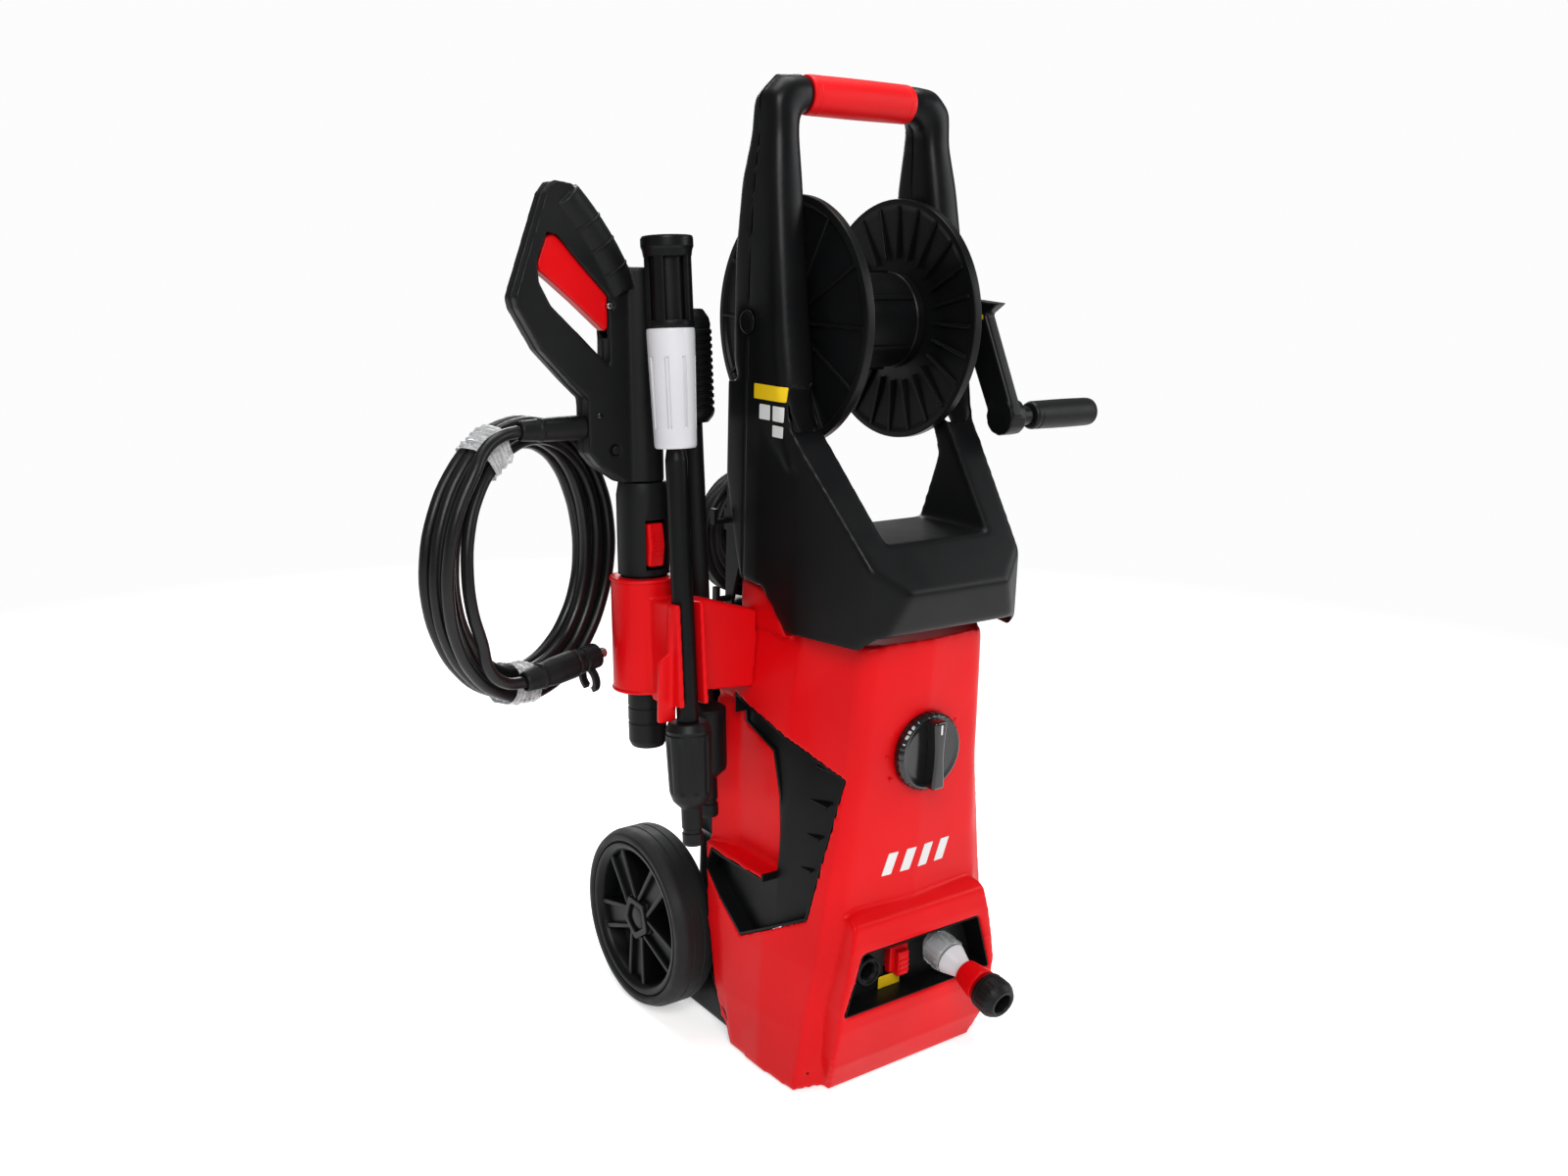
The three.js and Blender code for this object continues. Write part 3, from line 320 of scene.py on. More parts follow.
def turned(profile, axis="z", segments=72, ease=0.6, steps=3, waved=None):
    """A turned solid from (radius, height) points, closed on itself or on the axis.

    waved(angle, height, radius) adds to the radius."""
    closed = profile[0][:2] == profile[-1][:2]
    line = eased(profile[:-1] if closed else profile, ease, closed, steps)
    bm = bmesh.new()
    rings = []
    for radius, height in line:
        if radius < 1e-6:
            rings.append([bm.verts.new((0, 0, height))])
            continue
        ring = []
        for k in range(segments):
            a = 2 * math.pi * k / segments
            r = radius + (waved(a, height, radius) if waved else 0)
            ring.append(bm.verts.new((r * math.cos(a), r * math.sin(a), height)))
        rings.append(ring)
    pairs = list(zip(rings, rings[1:])) + ([(rings[-1], rings[0])] if closed else [])
    for low, high in pairs:
        for k in range(segments):
            j = (k + 1) % segments
            corners = [low[k % len(low)], low[j % len(low)], high[j % len(high)], high[k % len(high)]]
            corners = list(dict.fromkeys(corners))
            if len(corners) > 2:
                bm.faces.new(corners)
    bm.transform(STANDING[axis])
    return bm


def slab(outline, axis, low, high, edge=0.8, corner=1.5, holes=()):
    """A flat piece with rounded edges: outline (y, z) along x, (x, z) along y or (x, y) along z."""
    data = bpy.data.curves.new("slab", "CURVE")
    data.dimensions = "2D"
    data.fill_mode = "BOTH"
    data.extrude = (high - low) / 2 - edge
    data.bevel_depth = edge
    data.bevel_resolution = 2
    data.offset = -edge
    for points in (outline, *holes):
        line = eased(points, corner, True, 4) if corner else [Vector(p[:2]) for p in points]
        spline = data.splines.new("POLY")
        spline.points.add(len(line) - 1)
        for point, at in zip(spline.points, line):
            point.co = (at.x, at.y, 0, 1)
        spline.use_cyclic_u = True
    holder = bpy.data.objects.new("slab", data)
    bm = bmesh.new()
    bm.from_mesh(holder.to_mesh())
    holder.to_mesh_clear()
    bpy.data.objects.remove(holder)
    bpy.data.curves.remove(data)
    bmesh.ops.remove_doubles(bm, verts=bm.verts, dist=1e-4)
    bm.transform(Matrix.Translation((0, 0, (low + high) / 2)))
    turn = {
        "x": Matrix(((0, 0, 1, 0), (1, 0, 0, 0), (0, 1, 0, 0), (0, 0, 0, 1))),
        "y": Matrix(((1, 0, 0, 0), (0, 0, 1, 0), (0, 1, 0, 0), (0, 0, 0, 1))),
        "z": Matrix.Identity(4),
    }
    bm.transform(turn[axis])
    return bm


def oblong(left, right, low, high):
    return [(left, low), (right, low), (right, high), (left, high)]


def groove(radius, start, end, depth, slope):
    """Four profile points of a groove with slanting sides, sunk into a radius."""
    inner = radius - depth
    return [(radius, start, 0), (inner, start + slope, 0), (inner, end - slope, 0), (radius, end, 0)]


def block(size, edge=0.6):
    """A small block about the origin with rounded edges."""
    x, y, z = (s / 2 for s in size)
    return slab(oblong(-x, x, -y, y), "z", -z, z, edge, edge)


def at(x, y, z, *turns):
    """A place in millimetres with turns (angle, axis) applied from the last to the first."""
    placed = Matrix.Translation((x, y, z))
    for angle, axis in turns:
        placed = placed @ Matrix.Rotation(angle, 4, axis)
    return placed


def along(tool):
    return at(tool["x"], tool["y"], tool["z"], (-tool["lean"], "X"))


def on_tool(tool, points):
    """Profile points written as (height above the floor, radius) for a piece on a leaning tool."""
    return [(p[1], p[0] - tool["z"], *p[2:]) for p in points]


SHARP_EDGE = math.radians(24)
LEAST_WEIGHT = 0.12


def refined(node, finish, width=1.2):
    """A CAD node's shape with its edges rounded: merged, its flat faces joined, then bevelled by weight."""
    bm = bmesh.new()
    bm.from_mesh(NODES[node].data)
    bmesh.ops.remove_doubles(bm, verts=bm.verts, dist=0.35 * MM)
    bmesh.ops.dissolve_degenerate(bm, dist=0.1 * MM, edges=bm.edges)
    bmesh.ops.dissolve_limit(bm, angle_limit=math.radians(1.2), verts=bm.verts, edges=bm.edges)
    size = width * MM
    layer = bm.edges.layers.float.new("bevel_weight_edge")
    for edge in bm.edges:
        if not edge.is_manifold or edge.calc_face_angle() < SHARP_EDGE:
            continue
        weight = 1.0
        for vert in edge.verts:
            along_edge = edge.other_vert(vert).co - vert.co
            for other in vert.link_edges:
                if other is edge:
                    continue
                aside = other.other_vert(vert).co - vert.co
                lean = along_edge.angle(aside, 0)
                weight = min(weight, 0.42 * aside.length * max(math.sin(lean), 0.12) / size)
        if weight > LEAST_WEIGHT:
            edge[layer] = min(weight, 1.0)
    mesh = bpy.data.meshes.new(node + "_fine")
    bm.to_mesh(mesh)
    bm.free()
    holder = bpy.data.objects.new("holder", mesh)
    bpy.context.scene.collection.objects.link(holder)
    bevel = holder.modifiers.new("bevel", "BEVEL")
    bevel.width = size
    bevel.segments = 3
    bevel.limit_method = "WEIGHT"
    bevel.use_clamp_overlap = True
    bevel.miter_outer = "MITER_ARC"
    shaped = bpy.data.meshes.new_from_object(holder.evaluated_get(bpy.context.evaluated_depsgraph_get()))
    bpy.data.objects.remove(holder)
    dress(node + "_shell", shaped, BODY_OF[node], finish, [node], sharp=34)


MORE_ROUNDS = 36


def softened(node, finish, cell, rounds, seam=None, share=1.0, rounder=None, firm=None, backing=()):
    """A CAD node's shape with its edges melted round, as a moulding's are: remeshed in cells, then smoothed.

    Edges stay crisp by the parting plane y = seam, share is how much of the faces to keep, and
    rounder(x, y, z) marks where the smoothing goes on for MORE_ROUNDS. firm(x, y, z) is 0 where nothing may
    move, and backing holds pieces that thicken walls thinner than a cell from behind."""
    holder = bpy.data.objects.new("holder", NODES[node].data.copy())
    bpy.context.scene.collection.objects.link(holder)
    if backing:
        bm = joined(*backing)
        bm.transform(Matrix.Scale(MM, 4))
        bmesh.ops.recalc_face_normals(bm, faces=bm.faces)
        bm.from_mesh(holder.data)
        bm.to_mesh(holder.data)
        bm.free()
    remesh = holder.modifiers.new("remesh", "REMESH")
    remesh.mode = "VOXEL"
    remesh.voxel_size = cell * MM
    mesh = bpy.data.meshes.new_from_object(holder.evaluated_get(bpy.context.evaluated_depsgraph_get()))
    bpy.data.objects.remove(holder)
    count = len(mesh.vertices)
    points = np.empty(count * 3)
    mesh.vertices.foreach_get("co", points)
    points = points.reshape(-1, 3)
    edges = np.empty(len(mesh.edges) * 2, dtype=np.int32)
    mesh.edges.foreach_get("vertices", edges)
    edges = edges.reshape(-1, 2)
    ends = np.concatenate((edges[:, 0], edges[:, 1]))
    others = np.concatenate((edges[:, 1], edges[:, 0]))
    links = np.bincount(ends, minlength=count).clip(1)[:, None]
    free = 0.5 if seam is None else 0.5 * np.clip((abs(points[:, 1:2] / MM - seam) - 1.2) / 3, 0, 1)
    if firm:
        free = free * firm(*(points[:, i:i + 1] / MM for i in range(3)))
    if rounder:
        chosen = rounder(*(points[:, i:i + 1] / MM for i in range(3))) * free
    for step in range(rounds + MORE_ROUNDS if rounder else rounds):
        if step == rounds:
            free = chosen
        total = np.stack([np.bincount(ends, points[others, i], count) for i in range(3)], 1)
        points = points + (total / links - points) * free
    mesh.vertices.foreach_set("co", points.ravel())
    mesh.update()
    piece = dress(node + "_shell", mesh, BODY_OF[node], finish, [node], sharp=50)
    if share < 1:
        fewer = piece.modifiers.new("fewer", "DECIMATE")
        fewer.ratio = share
        piece.modifiers.move(1, 0)


def screw(name, body, place, radius=3.2, finish="steel"):
    """A pan-head screw with a hexagonal socket, its head along +Z of place."""
    profile = [(0, -1), (radius, -1), (radius, 0.6, 0.8), (radius * 0.5, 1.4), (radius * 0.5, 0.2), (0, 0.2)]

    def socket(angle, height, r):
        if r > radius * 0.62:
            return 0
        return -0.16 * r * (0.5 + 0.5 * math.cos(6 * angle))

    show(name, turned(profile, "z", 36, 0.3, 2, socket), place, body, finish)


# ---- cords ----------------------------------------------------------------------------
def smooth_step(t):
    t = min(max(t, 0.0), 1.0)
    return t * t * (3 - 2 * t)


def wound(first, last, begin, leave, slots, per_turn, change_from, change_over):
    """The cross-section place along a coil. Yields (angle, across, deep), degrees and millimetres.

    The winding starts at begin = (angle, across, deep), lies in one slot for each turn, moves over to the
    next slot while the angle runs change_over degrees on from change_from, and ends at leave."""
    steps = round((leave[0] - begin[0]) / (360 / per_turn))
    for i in range(steps + 1):
        a = begin[0] + (leave[0] - begin[0]) * i / steps
        turn = (a - change_from) / 360
        k = math.floor(turn)
        part = smooth_step((turn - k) * 360 / change_over)
        here = slots[min(max(k, 0), len(slots) - 1)]
        after = slots[min(max(k + 1, 0), len(slots) - 1)]
        across = here[0] + (after[0] - here[0]) * part
        deep = here[1] + (after[1] - here[1]) * part
        start = 1 - smooth_step((a - begin[0]) / first)
        end = 1 - smooth_step((leave[0] - a) / last)
        across += (begin[1] - across) * start + (leave[1] - across) * end
        deep += (begin[2] - deep) * start + (leave[2] - deep) * end
        yield a, across, deep


def cord_curve(name, points, diameter, body, finish, nodes, sides=5):
    data = bpy.data.curves.new(name, "CURVE")
    data.dimensions = "3D"
    data.bevel_depth = diameter / 2 * MM
    data.bevel_resolution = sides
    data.use_fill_caps = True
    data.resolution_u = 4
    spline = data.splines.new("BEZIER")
    spline.bezier_points.add(len(points) - 1)
    for knot, point in zip(spline.bezier_points, points):
        knot.co = Vector(point) * MM
        knot.handle_left_type = knot.handle_right_type = "AUTO"
    cord = bpy.data.objects.new(name, data)
    bpy.context.scene.collection.objects.link(cord)
    material, slot = FINISH[finish]
    data.materials.append(material)
    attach(cord, body)
    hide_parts(*nodes)
    return cord


# The hose: from the gun's inlet into the coil, round it seven times, and out to the coupling.
HOSE_LEAD = [(-302, 52.3, 602), (-312, 51.6, 601.2), (-330, 47.8, 597.4), (-344.5, 43.1, 587.5)]
HOSE_TAIL = [(-344.8, 40.5, 405.8), (-329.8, 44.7, 391.3), (-311, 49.3, 386.8), (-295.2, 51.2, 388.3)]
HOSE_ROW = 9.1
HOSE_SLOTS = [
    (HOSE_ROW, -10.5), (HOSE_ROW, 0), (HOSE_ROW, 10.5), (0, 5.25),
    (-HOSE_ROW, 10.5), (-HOSE_ROW, 0), (0, -5.25), (-HOSE_ROW, -10.5),
]


def hose_point(angle, across, deep):
    a = math.radians(angle)
    wobble = 1.2 * math.sin(2 * a + 0.7 * angle / 360) + 0.8 * math.sin(3 * a + angle / 200)
    wide, high = HOSE["wide"] + across + wobble, HOSE["high"] + across
    out = Vector((math.cos(a) * wide, deep, math.sin(a) * high))
    return Vector(HOSE["coil"]) + Matrix.Rotation(HOSE["turn"], 3, "Z") @ out


def make_hose():
    coil = wound(100, 90, (135.2, 15, -21.6), (212.8 + 7 * 360, -6, -21.3), HOSE_SLOTS, 20, 20 + 360, 130)
    return [*HOSE_LEAD, *(hose_point(*place) for place in coil), *HOSE_TAIL]


# The power cord: up from the rear cover, wound on its peg, then down the back to the plug.
CORD_LEAD = [(25, 76, 418), (25, 76, 434), (25, 76, 455), (22, 76, 468), (16, 76, 480), (12.6, 76, 492),
             (10.6, 76, 504), (4.2, 76, 520.6)]
CORD_TAIL = [(-46, 97.5, 442.5), (-33, 100, 439.5), (-22, 105, 431.5), (-15.5, 110.5, 419),
             (-12, 116, 403), (-9, 123, 384), (-7, 133.4, 356), (-7, 136.2, 336)]
CORD_ROWS = (13, 6.5, 0, -6.5, -13)


def cord_slots():
    """Seventeen places in the coil's section, row by row, each row back along the last."""
    made = []
    for k, across in enumerate(CORD_ROWS):
        row = [-11.25, -3.75, 3.75, 11.25] if k % 2 == 0 else [7.5, 0, -7.5]
        made += [(across, deep) for deep in row]
    return made[1:]


def cord_point(angle, across, deep):
    a = math.radians(angle)
    r = LEAD["middle"] + across + 0.5 * math.sin(2 * a + angle / 300)
    x, y, z = LEAD["coil"]
    return Vector((x + r * math.cos(a), y + deep, z + r * math.sin(a)))


def make_lead():
    coil = wound(110, 100, (45.5, 19.8, 0), (262.3 + 16 * 360, -0.1, 21.5), cord_slots(), 16, 100 + 360, 140)
    return [*CORD_LEAD, *(cord_point(*place) for place in coil), *CORD_TAIL]


hose = cord_curve(
    "hose", make_hose(), HOSE["diameter"], "gun", "hose", ["hose_lead", "hose_coil", "hose_tail"],
)
lead = cord_curve(
    "power_cord", make_lead(), LEAD["diameter"], "chassis", "lead",
    ["power_cord_lead", "power_cord_coil", "power_cord_tail"], 4,
)


# ---- wheels ---------------------------------------------------------------------------
TYRE_PROFILE = [
    (79.1, 112), (86, 110.4, 3), (91, 117, 5), *groove(91, 125.5, 127.7, 0.7, 0.5),
    *groove(91, 137.3, 139.5, 0.7, 0.5), (91, 146, 7),
    (86.5, 155, 4.5), (81, 155, 0.8), (79.6, 153.4, 0.4), (79.1, 153.2), (79.1, 112),
]
RIM_PROFILE = [
    (78.5, 113), (78.5, 152, 0.8), (76.8, 153.8, 1), (72.5, 153.2, 2), (68.5, 149, 3), (64, 129, 4),
    (20, 127), (20, 123), (63, 123.5, 3), (70, 118, 2), (70, 113), (78.5, 113),
]
SPOKE = [(-11.5, 15), (11.5, 15), (15.5, 73), (-15.5, 73)]
SPOKE_RAIL = [(7.4, 17), (12, 17), (16.2, 72), (10.4, 72)]
SPOKES = 5


def polygon(count, radius, phase=0.0):
    angles = [phase + 2 * math.pi * k / count for k in range(count)]
    return [(radius * math.sin(a), radius * math.cos(a)) for a in angles]


def flipped(outline):
    return [(-p[0], *p[1:]) for p in reversed(outline)]


def make_wheel(word, side):
    placed = at(0, WHEEL["y"], WHEEL["z"], *(((math.pi, "Z"),) if side < 0 else ()))
    tyre = turned(TYRE_PROFILE, "x", 128, 0.4)
    show(f"tyre_{word}_moulded", tyre, placed, "wheel_" + word, "tyre", ["tyre_" + word])
    parts = [turned(RIM_PROFILE, "x", 112, 0.8)]
    for k in range(SPOKES):
        turn = Matrix.Rotation(math.pi + 2 * math.pi * k / SPOKES, 4, "X")
        parts.append((slab(SPOKE, "x", 126, 144, 1.6, 2), turn))
        parts.append((slab(SPOKE_RAIL, "x", 138, 149, 1.3, 1.5), turn))
        parts.append((slab(flipped(SPOKE_RAIL), "x", 138, 149, 1.3, 1.5), turn))
    parts.append(slab(polygon(SPOKES, 26, math.pi / SPOKES), "x", 125, 147, 2, 4))
    ridge = slab(polygon(SPOKES, 24, math.pi / SPOKES), "x", 144, 150.5, 1.2, 4,
                 holes=[polygon(SPOKES, 16, math.pi / SPOKES)])
    cap = turned([(0, 140), (13, 140), (13, 147, 0.8), (9, 148.5, 2), (0, 149)], "x", 48, 0.6)
    hub = joined(*parts, ridge, cap)
    show(f"wheel_{word}_hub", hub, placed, "wheel_" + word, "black", ["wheel_hub_" + word])


make_wheel("left", -1)
make_wheel("right", 1)
AXLE_PROFILE = [(0, -146), (5, -146), (6, -144.5), (6, 144.5), (5, 146), (0, 146)]
show("axle_rod", turned(AXLE_PROFILE, "x", 40, 0.3), at(0, WHEEL["y"], WHEEL["z"]), "chassis", "steel",
     ["axle"])

# ---- mouldings that keep their CAD shape, with rounded edges -----------------------------
WINDOW = [
    (22, 353), (-107, 300), (-88, 164), (-13, 124), (49, 172), (41, 193), (-34, 188), (-28, 262), (-18, 303),
    (20, 322),
]


def by_window(x, y, z):
    """0 along the side windows' edges and 1 from 5 away."""
    near = np.full(y.shape, 1e3)
    for (y0, z0), (y1, z1) in zip(WINDOW, WINDOW[1:] + WINDOW[:1]):
        dy, dz = y1 - y0, z1 - z0
        t = np.clip(((y - y0) * dy + (z - z0) * dz) / (dy * dy + dz * dz), 0, 1)
        near = np.minimum(near, np.hypot(y - y0 - t * dy, z - z0 - t * dz))
    return np.clip((near - 2) / 3, 0, 1)


def collar_backing():
    """Fills behind the thin front edge of the left side panel and behind the posts' feet."""
    panel = slab([(-105.7, -57), (-109.6, -8), (-105.5, -8), (-102, -57)], "z", 474, 600, 0.2, 0)
    foot = [(-69, 582), (-58.8, 594.5), (-50.8, 603), (-46, 600), (-52, 582)]
    return [panel, slab(foot, "x", -105, -73.8, 0.2, 0), slab(foot, "x", 73.8, 105, 0.2, 0)]


FRONT_CORNER = [(87, -100.5), (113, -93), (111, -84), (87, -90)]  # behind the casing's thin front corners
softened("front_cover", "red", 2.0, 4, share=0.3,
         rounder=lambda x, y, z: (y < -108) & (abs(x) > 52) & (z > 182), firm=by_window,
         backing=[slab([(side * x, y) for x, y in FRONT_CORNER], "z", 3.5, 40, 0.3, 0) for side in (-1, 1)])
softened("rear_cover", "black", 2.2, 10, share=0.4)
softened("base_tray", "black", 2.0, 10)
softened("upper_frame_front", "black", 1.8, 14, REEL["y"], 0.4, backing=collar_backing(),
         rounder=lambda x, y, z: z > 612)
softened("upper_frame_rear", "black", 1.8, 14, REEL["y"], 0.5, rounder=lambda x, y, z: z > 645)
refined("side_grille_left", "black", 0.8)
refined("side_grille_right", "black", 0.8)
refined("connection_panel", "dark", 0.5)
refined("detergent_cap", "red", 1.5)
refined("cord_hook", "black", 1.6)
softened("accessory_bracket", "red", 1.3, 4)

# ---- side windows ---------------------------------------------------------------------
LOUVRES = [(150, 104), (172, 101.5), (206, 98), (238, 93.5), (270, 89.5), (302, 85)]


def spans(outline, height):
    """The (from, to) stretches of an outline at one height."""
    crossings = []
    for (y0, z0), (y1, z1) in zip(outline, outline[1:] + outline[:1]):
        if (z0 - height) * (z1 - height) < 0:
            crossings.append(y0 + (y1 - y0) * (height - z0) / (z1 - z0))
    crossings.sort()
    return list(zip(crossings[::2], crossings[1::2]))


def make_louvres(word, side):
    """Slanting slats on the floor of a side window; each (height, reach from the middle plane)."""
    parts = []
    for height, reach in LOUVRES:
        for start, end in spans(WINDOW, height):
            start, end = start + 18, end - 6
            slat = block((15, end - start, 2.4), 0.8)
            lean = at(side * (reach - 16), (start + end) / 2, height, (side * 0.35, "Y"))
            parts.append((slat, lean))
    show(f"side_louvres_{word}", joined(*parts), AS_IT_IS, "chassis", "black")


make_louvres("left", -1)
make_louvres("right", 1)

# ---- handle and reel ------------------------------------------------------------------
HALF = CROSSBAR["half"]
GRIP_PROFILE = [
    (13.4, -HALF), (16.4, -HALF, 0.8), (17, -HALF + 3, 0.8), *groove(17, -HALF + 6, -HALF + 8.2, 0.5, 0.6),
    (17.3, 0, 20), *groove(17, HALF - 8.2, HALF - 6, 0.5, 0.6), (17, HALF - 3, 0.8), (16.4, HALF, 0.8),
    (13.4, HALF), (13.4, -HALF),
]
show("handle_grip_sleeve", turned(GRIP_PROFILE, "x", 72, 0.4), at(0, CROSSBAR["y"], CROSSBAR["z"]), "chassis",
     "red_soft", ["handle_grip"])

REEL_PLACE = at(0, REEL["y"], REEL["z"])
FLANGE_PROFILE = [
    (8.3, -4), (40, -4), (58, -0.6, 6), (100.5, -3.4, 2), (104, -4.6, 1), (109.3, -4.6, 1.2),
    (109.5, 3.8, 1.2), (103, 4.2, 1), (100.5, 0.4, 1.5), (58, 2.4, 4), (24, 0.2, 2), (20.5, 4.6, 1),
    (8.3, 4.6), (8.3, -4),
]
FLANGE_RIBS = 24
OUTER_RIB = [(-0.9, 56), (0.9, 56), (1.6, 103), (-1.6, 103)]
INNER_RIB = [(-1, 20), (1, 20), (1.4, 104), (-1.4, 104)]


def make_flange(word, side):
    placed = REEL_PLACE @ at(0, 0, 0, *(((math.pi, "Z"),) if side < 0 else ()))
    parts = [turned(FLANGE_PROFILE, "x", 112, 0.5)]
    for k in range(FLANGE_RIBS):
        turn = Matrix.Rotation(2 * math.pi * k / FLANGE_RIBS, 4, "X")
        parts.append((slab(OUTER_RIB, "x", -5.4, -0.5, 0.6, 0.5), turn))
        if k % 2 == 0:
            parts.append((slab(INNER_RIB, "x", 0.5, 4.2, 0.6, 0.5), turn))
    bm = joined(*parts)
    bm.transform(Matrix.Translation((REEL["web"], 0, 0)))
    show(f"reel_disc_{word}", bm, placed, "reel", "black", ["reel_flange_" + word])


make_flange("left", -1)
make_flange("right", 1)
DRUM_HALF = REEL["web"] - 4.3
DRUM_PROFILE = [
    (40, -DRUM_HALF), (44, -DRUM_HALF), (44, -DRUM_HALF + 8, 0), (43.2, -DRUM_HALF + 9, 0),
    (43.2, DRUM_HALF - 9, 0), (44, DRUM_HALF - 8, 0), (44, DRUM_HALF), (40, DRUM_HALF), (40, -DRUM_HALF),
]
DRUM_SLEEVE = [(8.3, -DRUM_HALF), (12, -DRUM_HALF), (12, DRUM_HALF), (8.3, DRUM_HALF), (8.3, -DRUM_HALF)]
drum_parts = [turned(DRUM_PROFILE, "x", 80, 0.5), turned(DRUM_SLEEVE, "x", 48, 0.4)]
for k in range(6):
    turn = Matrix.Rotation(2 * math.pi * k / 6, 4, "X")
    drum_parts.append((slab(oblong(-2, 2, 42, 45.4), "x", -46, 46, 0.8, 0.8), turn))
    drum_parts.append((slab(oblong(-1.5, 1.5, 11, 41), "x", -52, 52, 0.5, 0.5), turn))
show("reel_drum_ribbed", joined(*drum_parts), REEL_PLACE, "reel", "black", ["reel_drum"])
SHAFT_PROFILE = [(0, -78), (6.5, -78), (8, -76.5), (8, 122.5), (6.5, 124), (0, 124)]
show("reel_spindle", turned(SHAFT_PROFILE, "x", 48, 0.3), REEL_PLACE, "reel", "steel", ["reel_shaft"])

softened("crank_arm", "black", 1.0, 8)
CRANK_PLACE = at(0, CRANK["y"], CRANK["z"])
CRANK_GRIP = [
    (4.8, 152), (11.5, 152, 0.8), (13.2, 154.5, 1), *groove(13.2, 158, 160.6, 0.6, 0.6), (13.7, 195, 30),
    (13.4, 228, 0.8), (12.8, 229, 0.3), (12.8, 230, 0.3),
    (13.2, 230.8, 0.5), (12.6, 233.8, 1.5), (9.5, 235, 1), (9, 234, 0.5), (0, 234), (0, 226.3),
    (4.8, 226.3), (4.8, 152),
]
show("crank_handle_grip", turned(CRANK_GRIP, "x", 72, 0.4), CRANK_PLACE, "crank_handle", "dark",
     ["crank_grip"])
screw("crank_screw", "reel", REEL_PLACE @ at(127.6, 0, 0, (math.pi / 2, "Y")), 6)
BEARING_CAP = [(0, -1.5), (10.5, -1.5), (10.5, 0.6, 0.8), (8.2, 1.4, 0.5), (7, 0.9, 0.5), (0, 1.1)]
show("reel_bearing_cap", turned(BEARING_CAP, "x", 56, 0.4), REEL_PLACE @ at(-110.2, 0, 0, (math.pi, "Z")),
     "chassis", "black")

# ---- front controls -------------------------------------------------------------------
# A thin black sheet over the inner walls of the panel opening: painted shade for the dark of the recess, whose top
# wall lies in shade.
RECESS_SHADE = [(-89, 84.4), (89, 84.4), (70.6, 141.4), (-70.6, 141.4)]
RECESS_SHADE_INSIDE = [(-87.6, 85.3), (87.6, 85.3), (69.9, 140.5), (-69.9, 140.5)]
recess_shade = slab(RECESS_SHADE, "y", PANEL_Y - 25.4, PANEL_Y - 0.4, 0.25, 1.5, holes=[RECESS_SHADE_INSIDE])
show("panel_recess_shade", recess_shade, AS_IT_IS, "chassis", "black")

KNOB_PLACE = at(0, KNOB["y"], KNOB["z"])


def knurled(angle, height, radius):
    return -0.7 * max(0, math.cos(30 * angle)) ** 2 if radius > 33 and height > 1 else 0


knob_base = turned([(0, 0), (36.5, 0, 0), (36.5, 2, 0), (36.5, 5.2, 1.2), (33.5, 8.6, 1.2), (31, 8.2, 1),
                    (28, 7.6, 3), (0, 7)], "-y", 180, 0.5, 3, knurled)
knob_shaft = turned(oblong(0, 5, -29, 1), "-y", 32)
knob_ridge = slab([(-7.5, -32, 4), (7.5, -32, 4), (4.6, 0, 12), (7.5, 32, 4), (-7.5, 32, 4), (-4.6, 0, 12)],
                  "y", -20, -6, 2.6, 3)
show("power_dial", joined(knob_base, knob_shaft, knob_ridge), KNOB_PLACE, "knob", "gloss", ["power_knob"])
pointer = slab(oblong(-1, 1, 20, 29), "y", -20.4, -19.6, 0.15, 0.5)
show("power_dial_pointer", pointer, KNOB_PLACE, "knob", "print")
nubs = []
for k in range(9):
    a = math.radians(-120 + 30 * k)
    nub = turned([(0, -1), (1.8, -1), (1.8, 0.6, 0.8), (0, 1.1)], "-y", 20, 0.4)
    x, z = KNOB["scale"] * math.sin(a), KNOB["z"] + KNOB["scale"] * math.cos(a)
    nubs.append((nub, at(x, KNOB["y"] + 0.05 * abs(x) + 0.38, z)))
show("power_scale_nubs", joined(*nubs), AS_IT_IS, "chassis", "red")

OUTLET_PROFILE = [
    (8, -40), (12, -40), (12, -2), (14, -2), (14, 8, 1.2), (12.4, 9, 0.6), (11.2, 9, 0.4), (10.4, 6.5, 0.4),
    (9.4, 6.5, 0.3), (8.6, 5, 0.3), (8, 4), (8, -40),
]


def keyed(angle, height, radius):
    return -0.9 if height > 3 and radius < 10.6 and math.cos(3 * angle) > 0.8 else 0


show("outlet_coupling", turned(OUTLET_PROFILE, "-y", 120, 0.4, 3, keyed),
     at(OUTLET["x"], PANEL_Y, OUTLET["z"]), "chassis", "dark", ["outlet_socket"])
refined("outlet_latch", "red", 1.0)
latch_ridges = [(block((11, 1.6, 1.8), 0.5), at(-9.5, PANEL_Y - 13.2, z)) for z in (103, 108, 113)]
show("outlet_latch_ridges", joined(*latch_ridges), AS_IT_IS, "latch", "red")

INLET_PLACE = at(INLET["x"], PANEL_Y, INLET["z"], (INLET["droop"], "X"))
CONE_PROFILE = [(5, -16), (12, -16), (12, 25.3), (15.6, 26.6, 0.5), (9.6, 42, 3), (9, 52), (5, 52), (5, -16)]
show("inlet_cone", turned(CONE_PROFILE, "-y", 72, 0.6), INLET_PLACE, "chassis", "white", ["inlet_spigot"])


def nut_ribs(angle, height, radius):
    return 1.1 * max(0, math.cos(10 * angle)) ** 3 if radius > 15 and 6 < height < 23 else 0


NUT_PROFILE = [(12.3, 4), (16.6, 4, 0.5), (17, 6.5, 0), *groove(17, 14, 16.8, 0.6, 0.8), (17, 22.5, 0),
               (16.2, 25, 1), (12.3, 25), (12.3, 4)]
show("inlet_clear_nut", turned(NUT_PROFILE, "-y", 120, 0.4, 3, nut_ribs), INLET_PLACE, "chassis", "clear",
     ["inlet_nut"])


def end_nut_ribs(angle, height, radius):
    return -0.5 * max(0, math.cos(18 * angle)) ** 2 if radius > 17.4 and 81 < height < 91 else 0


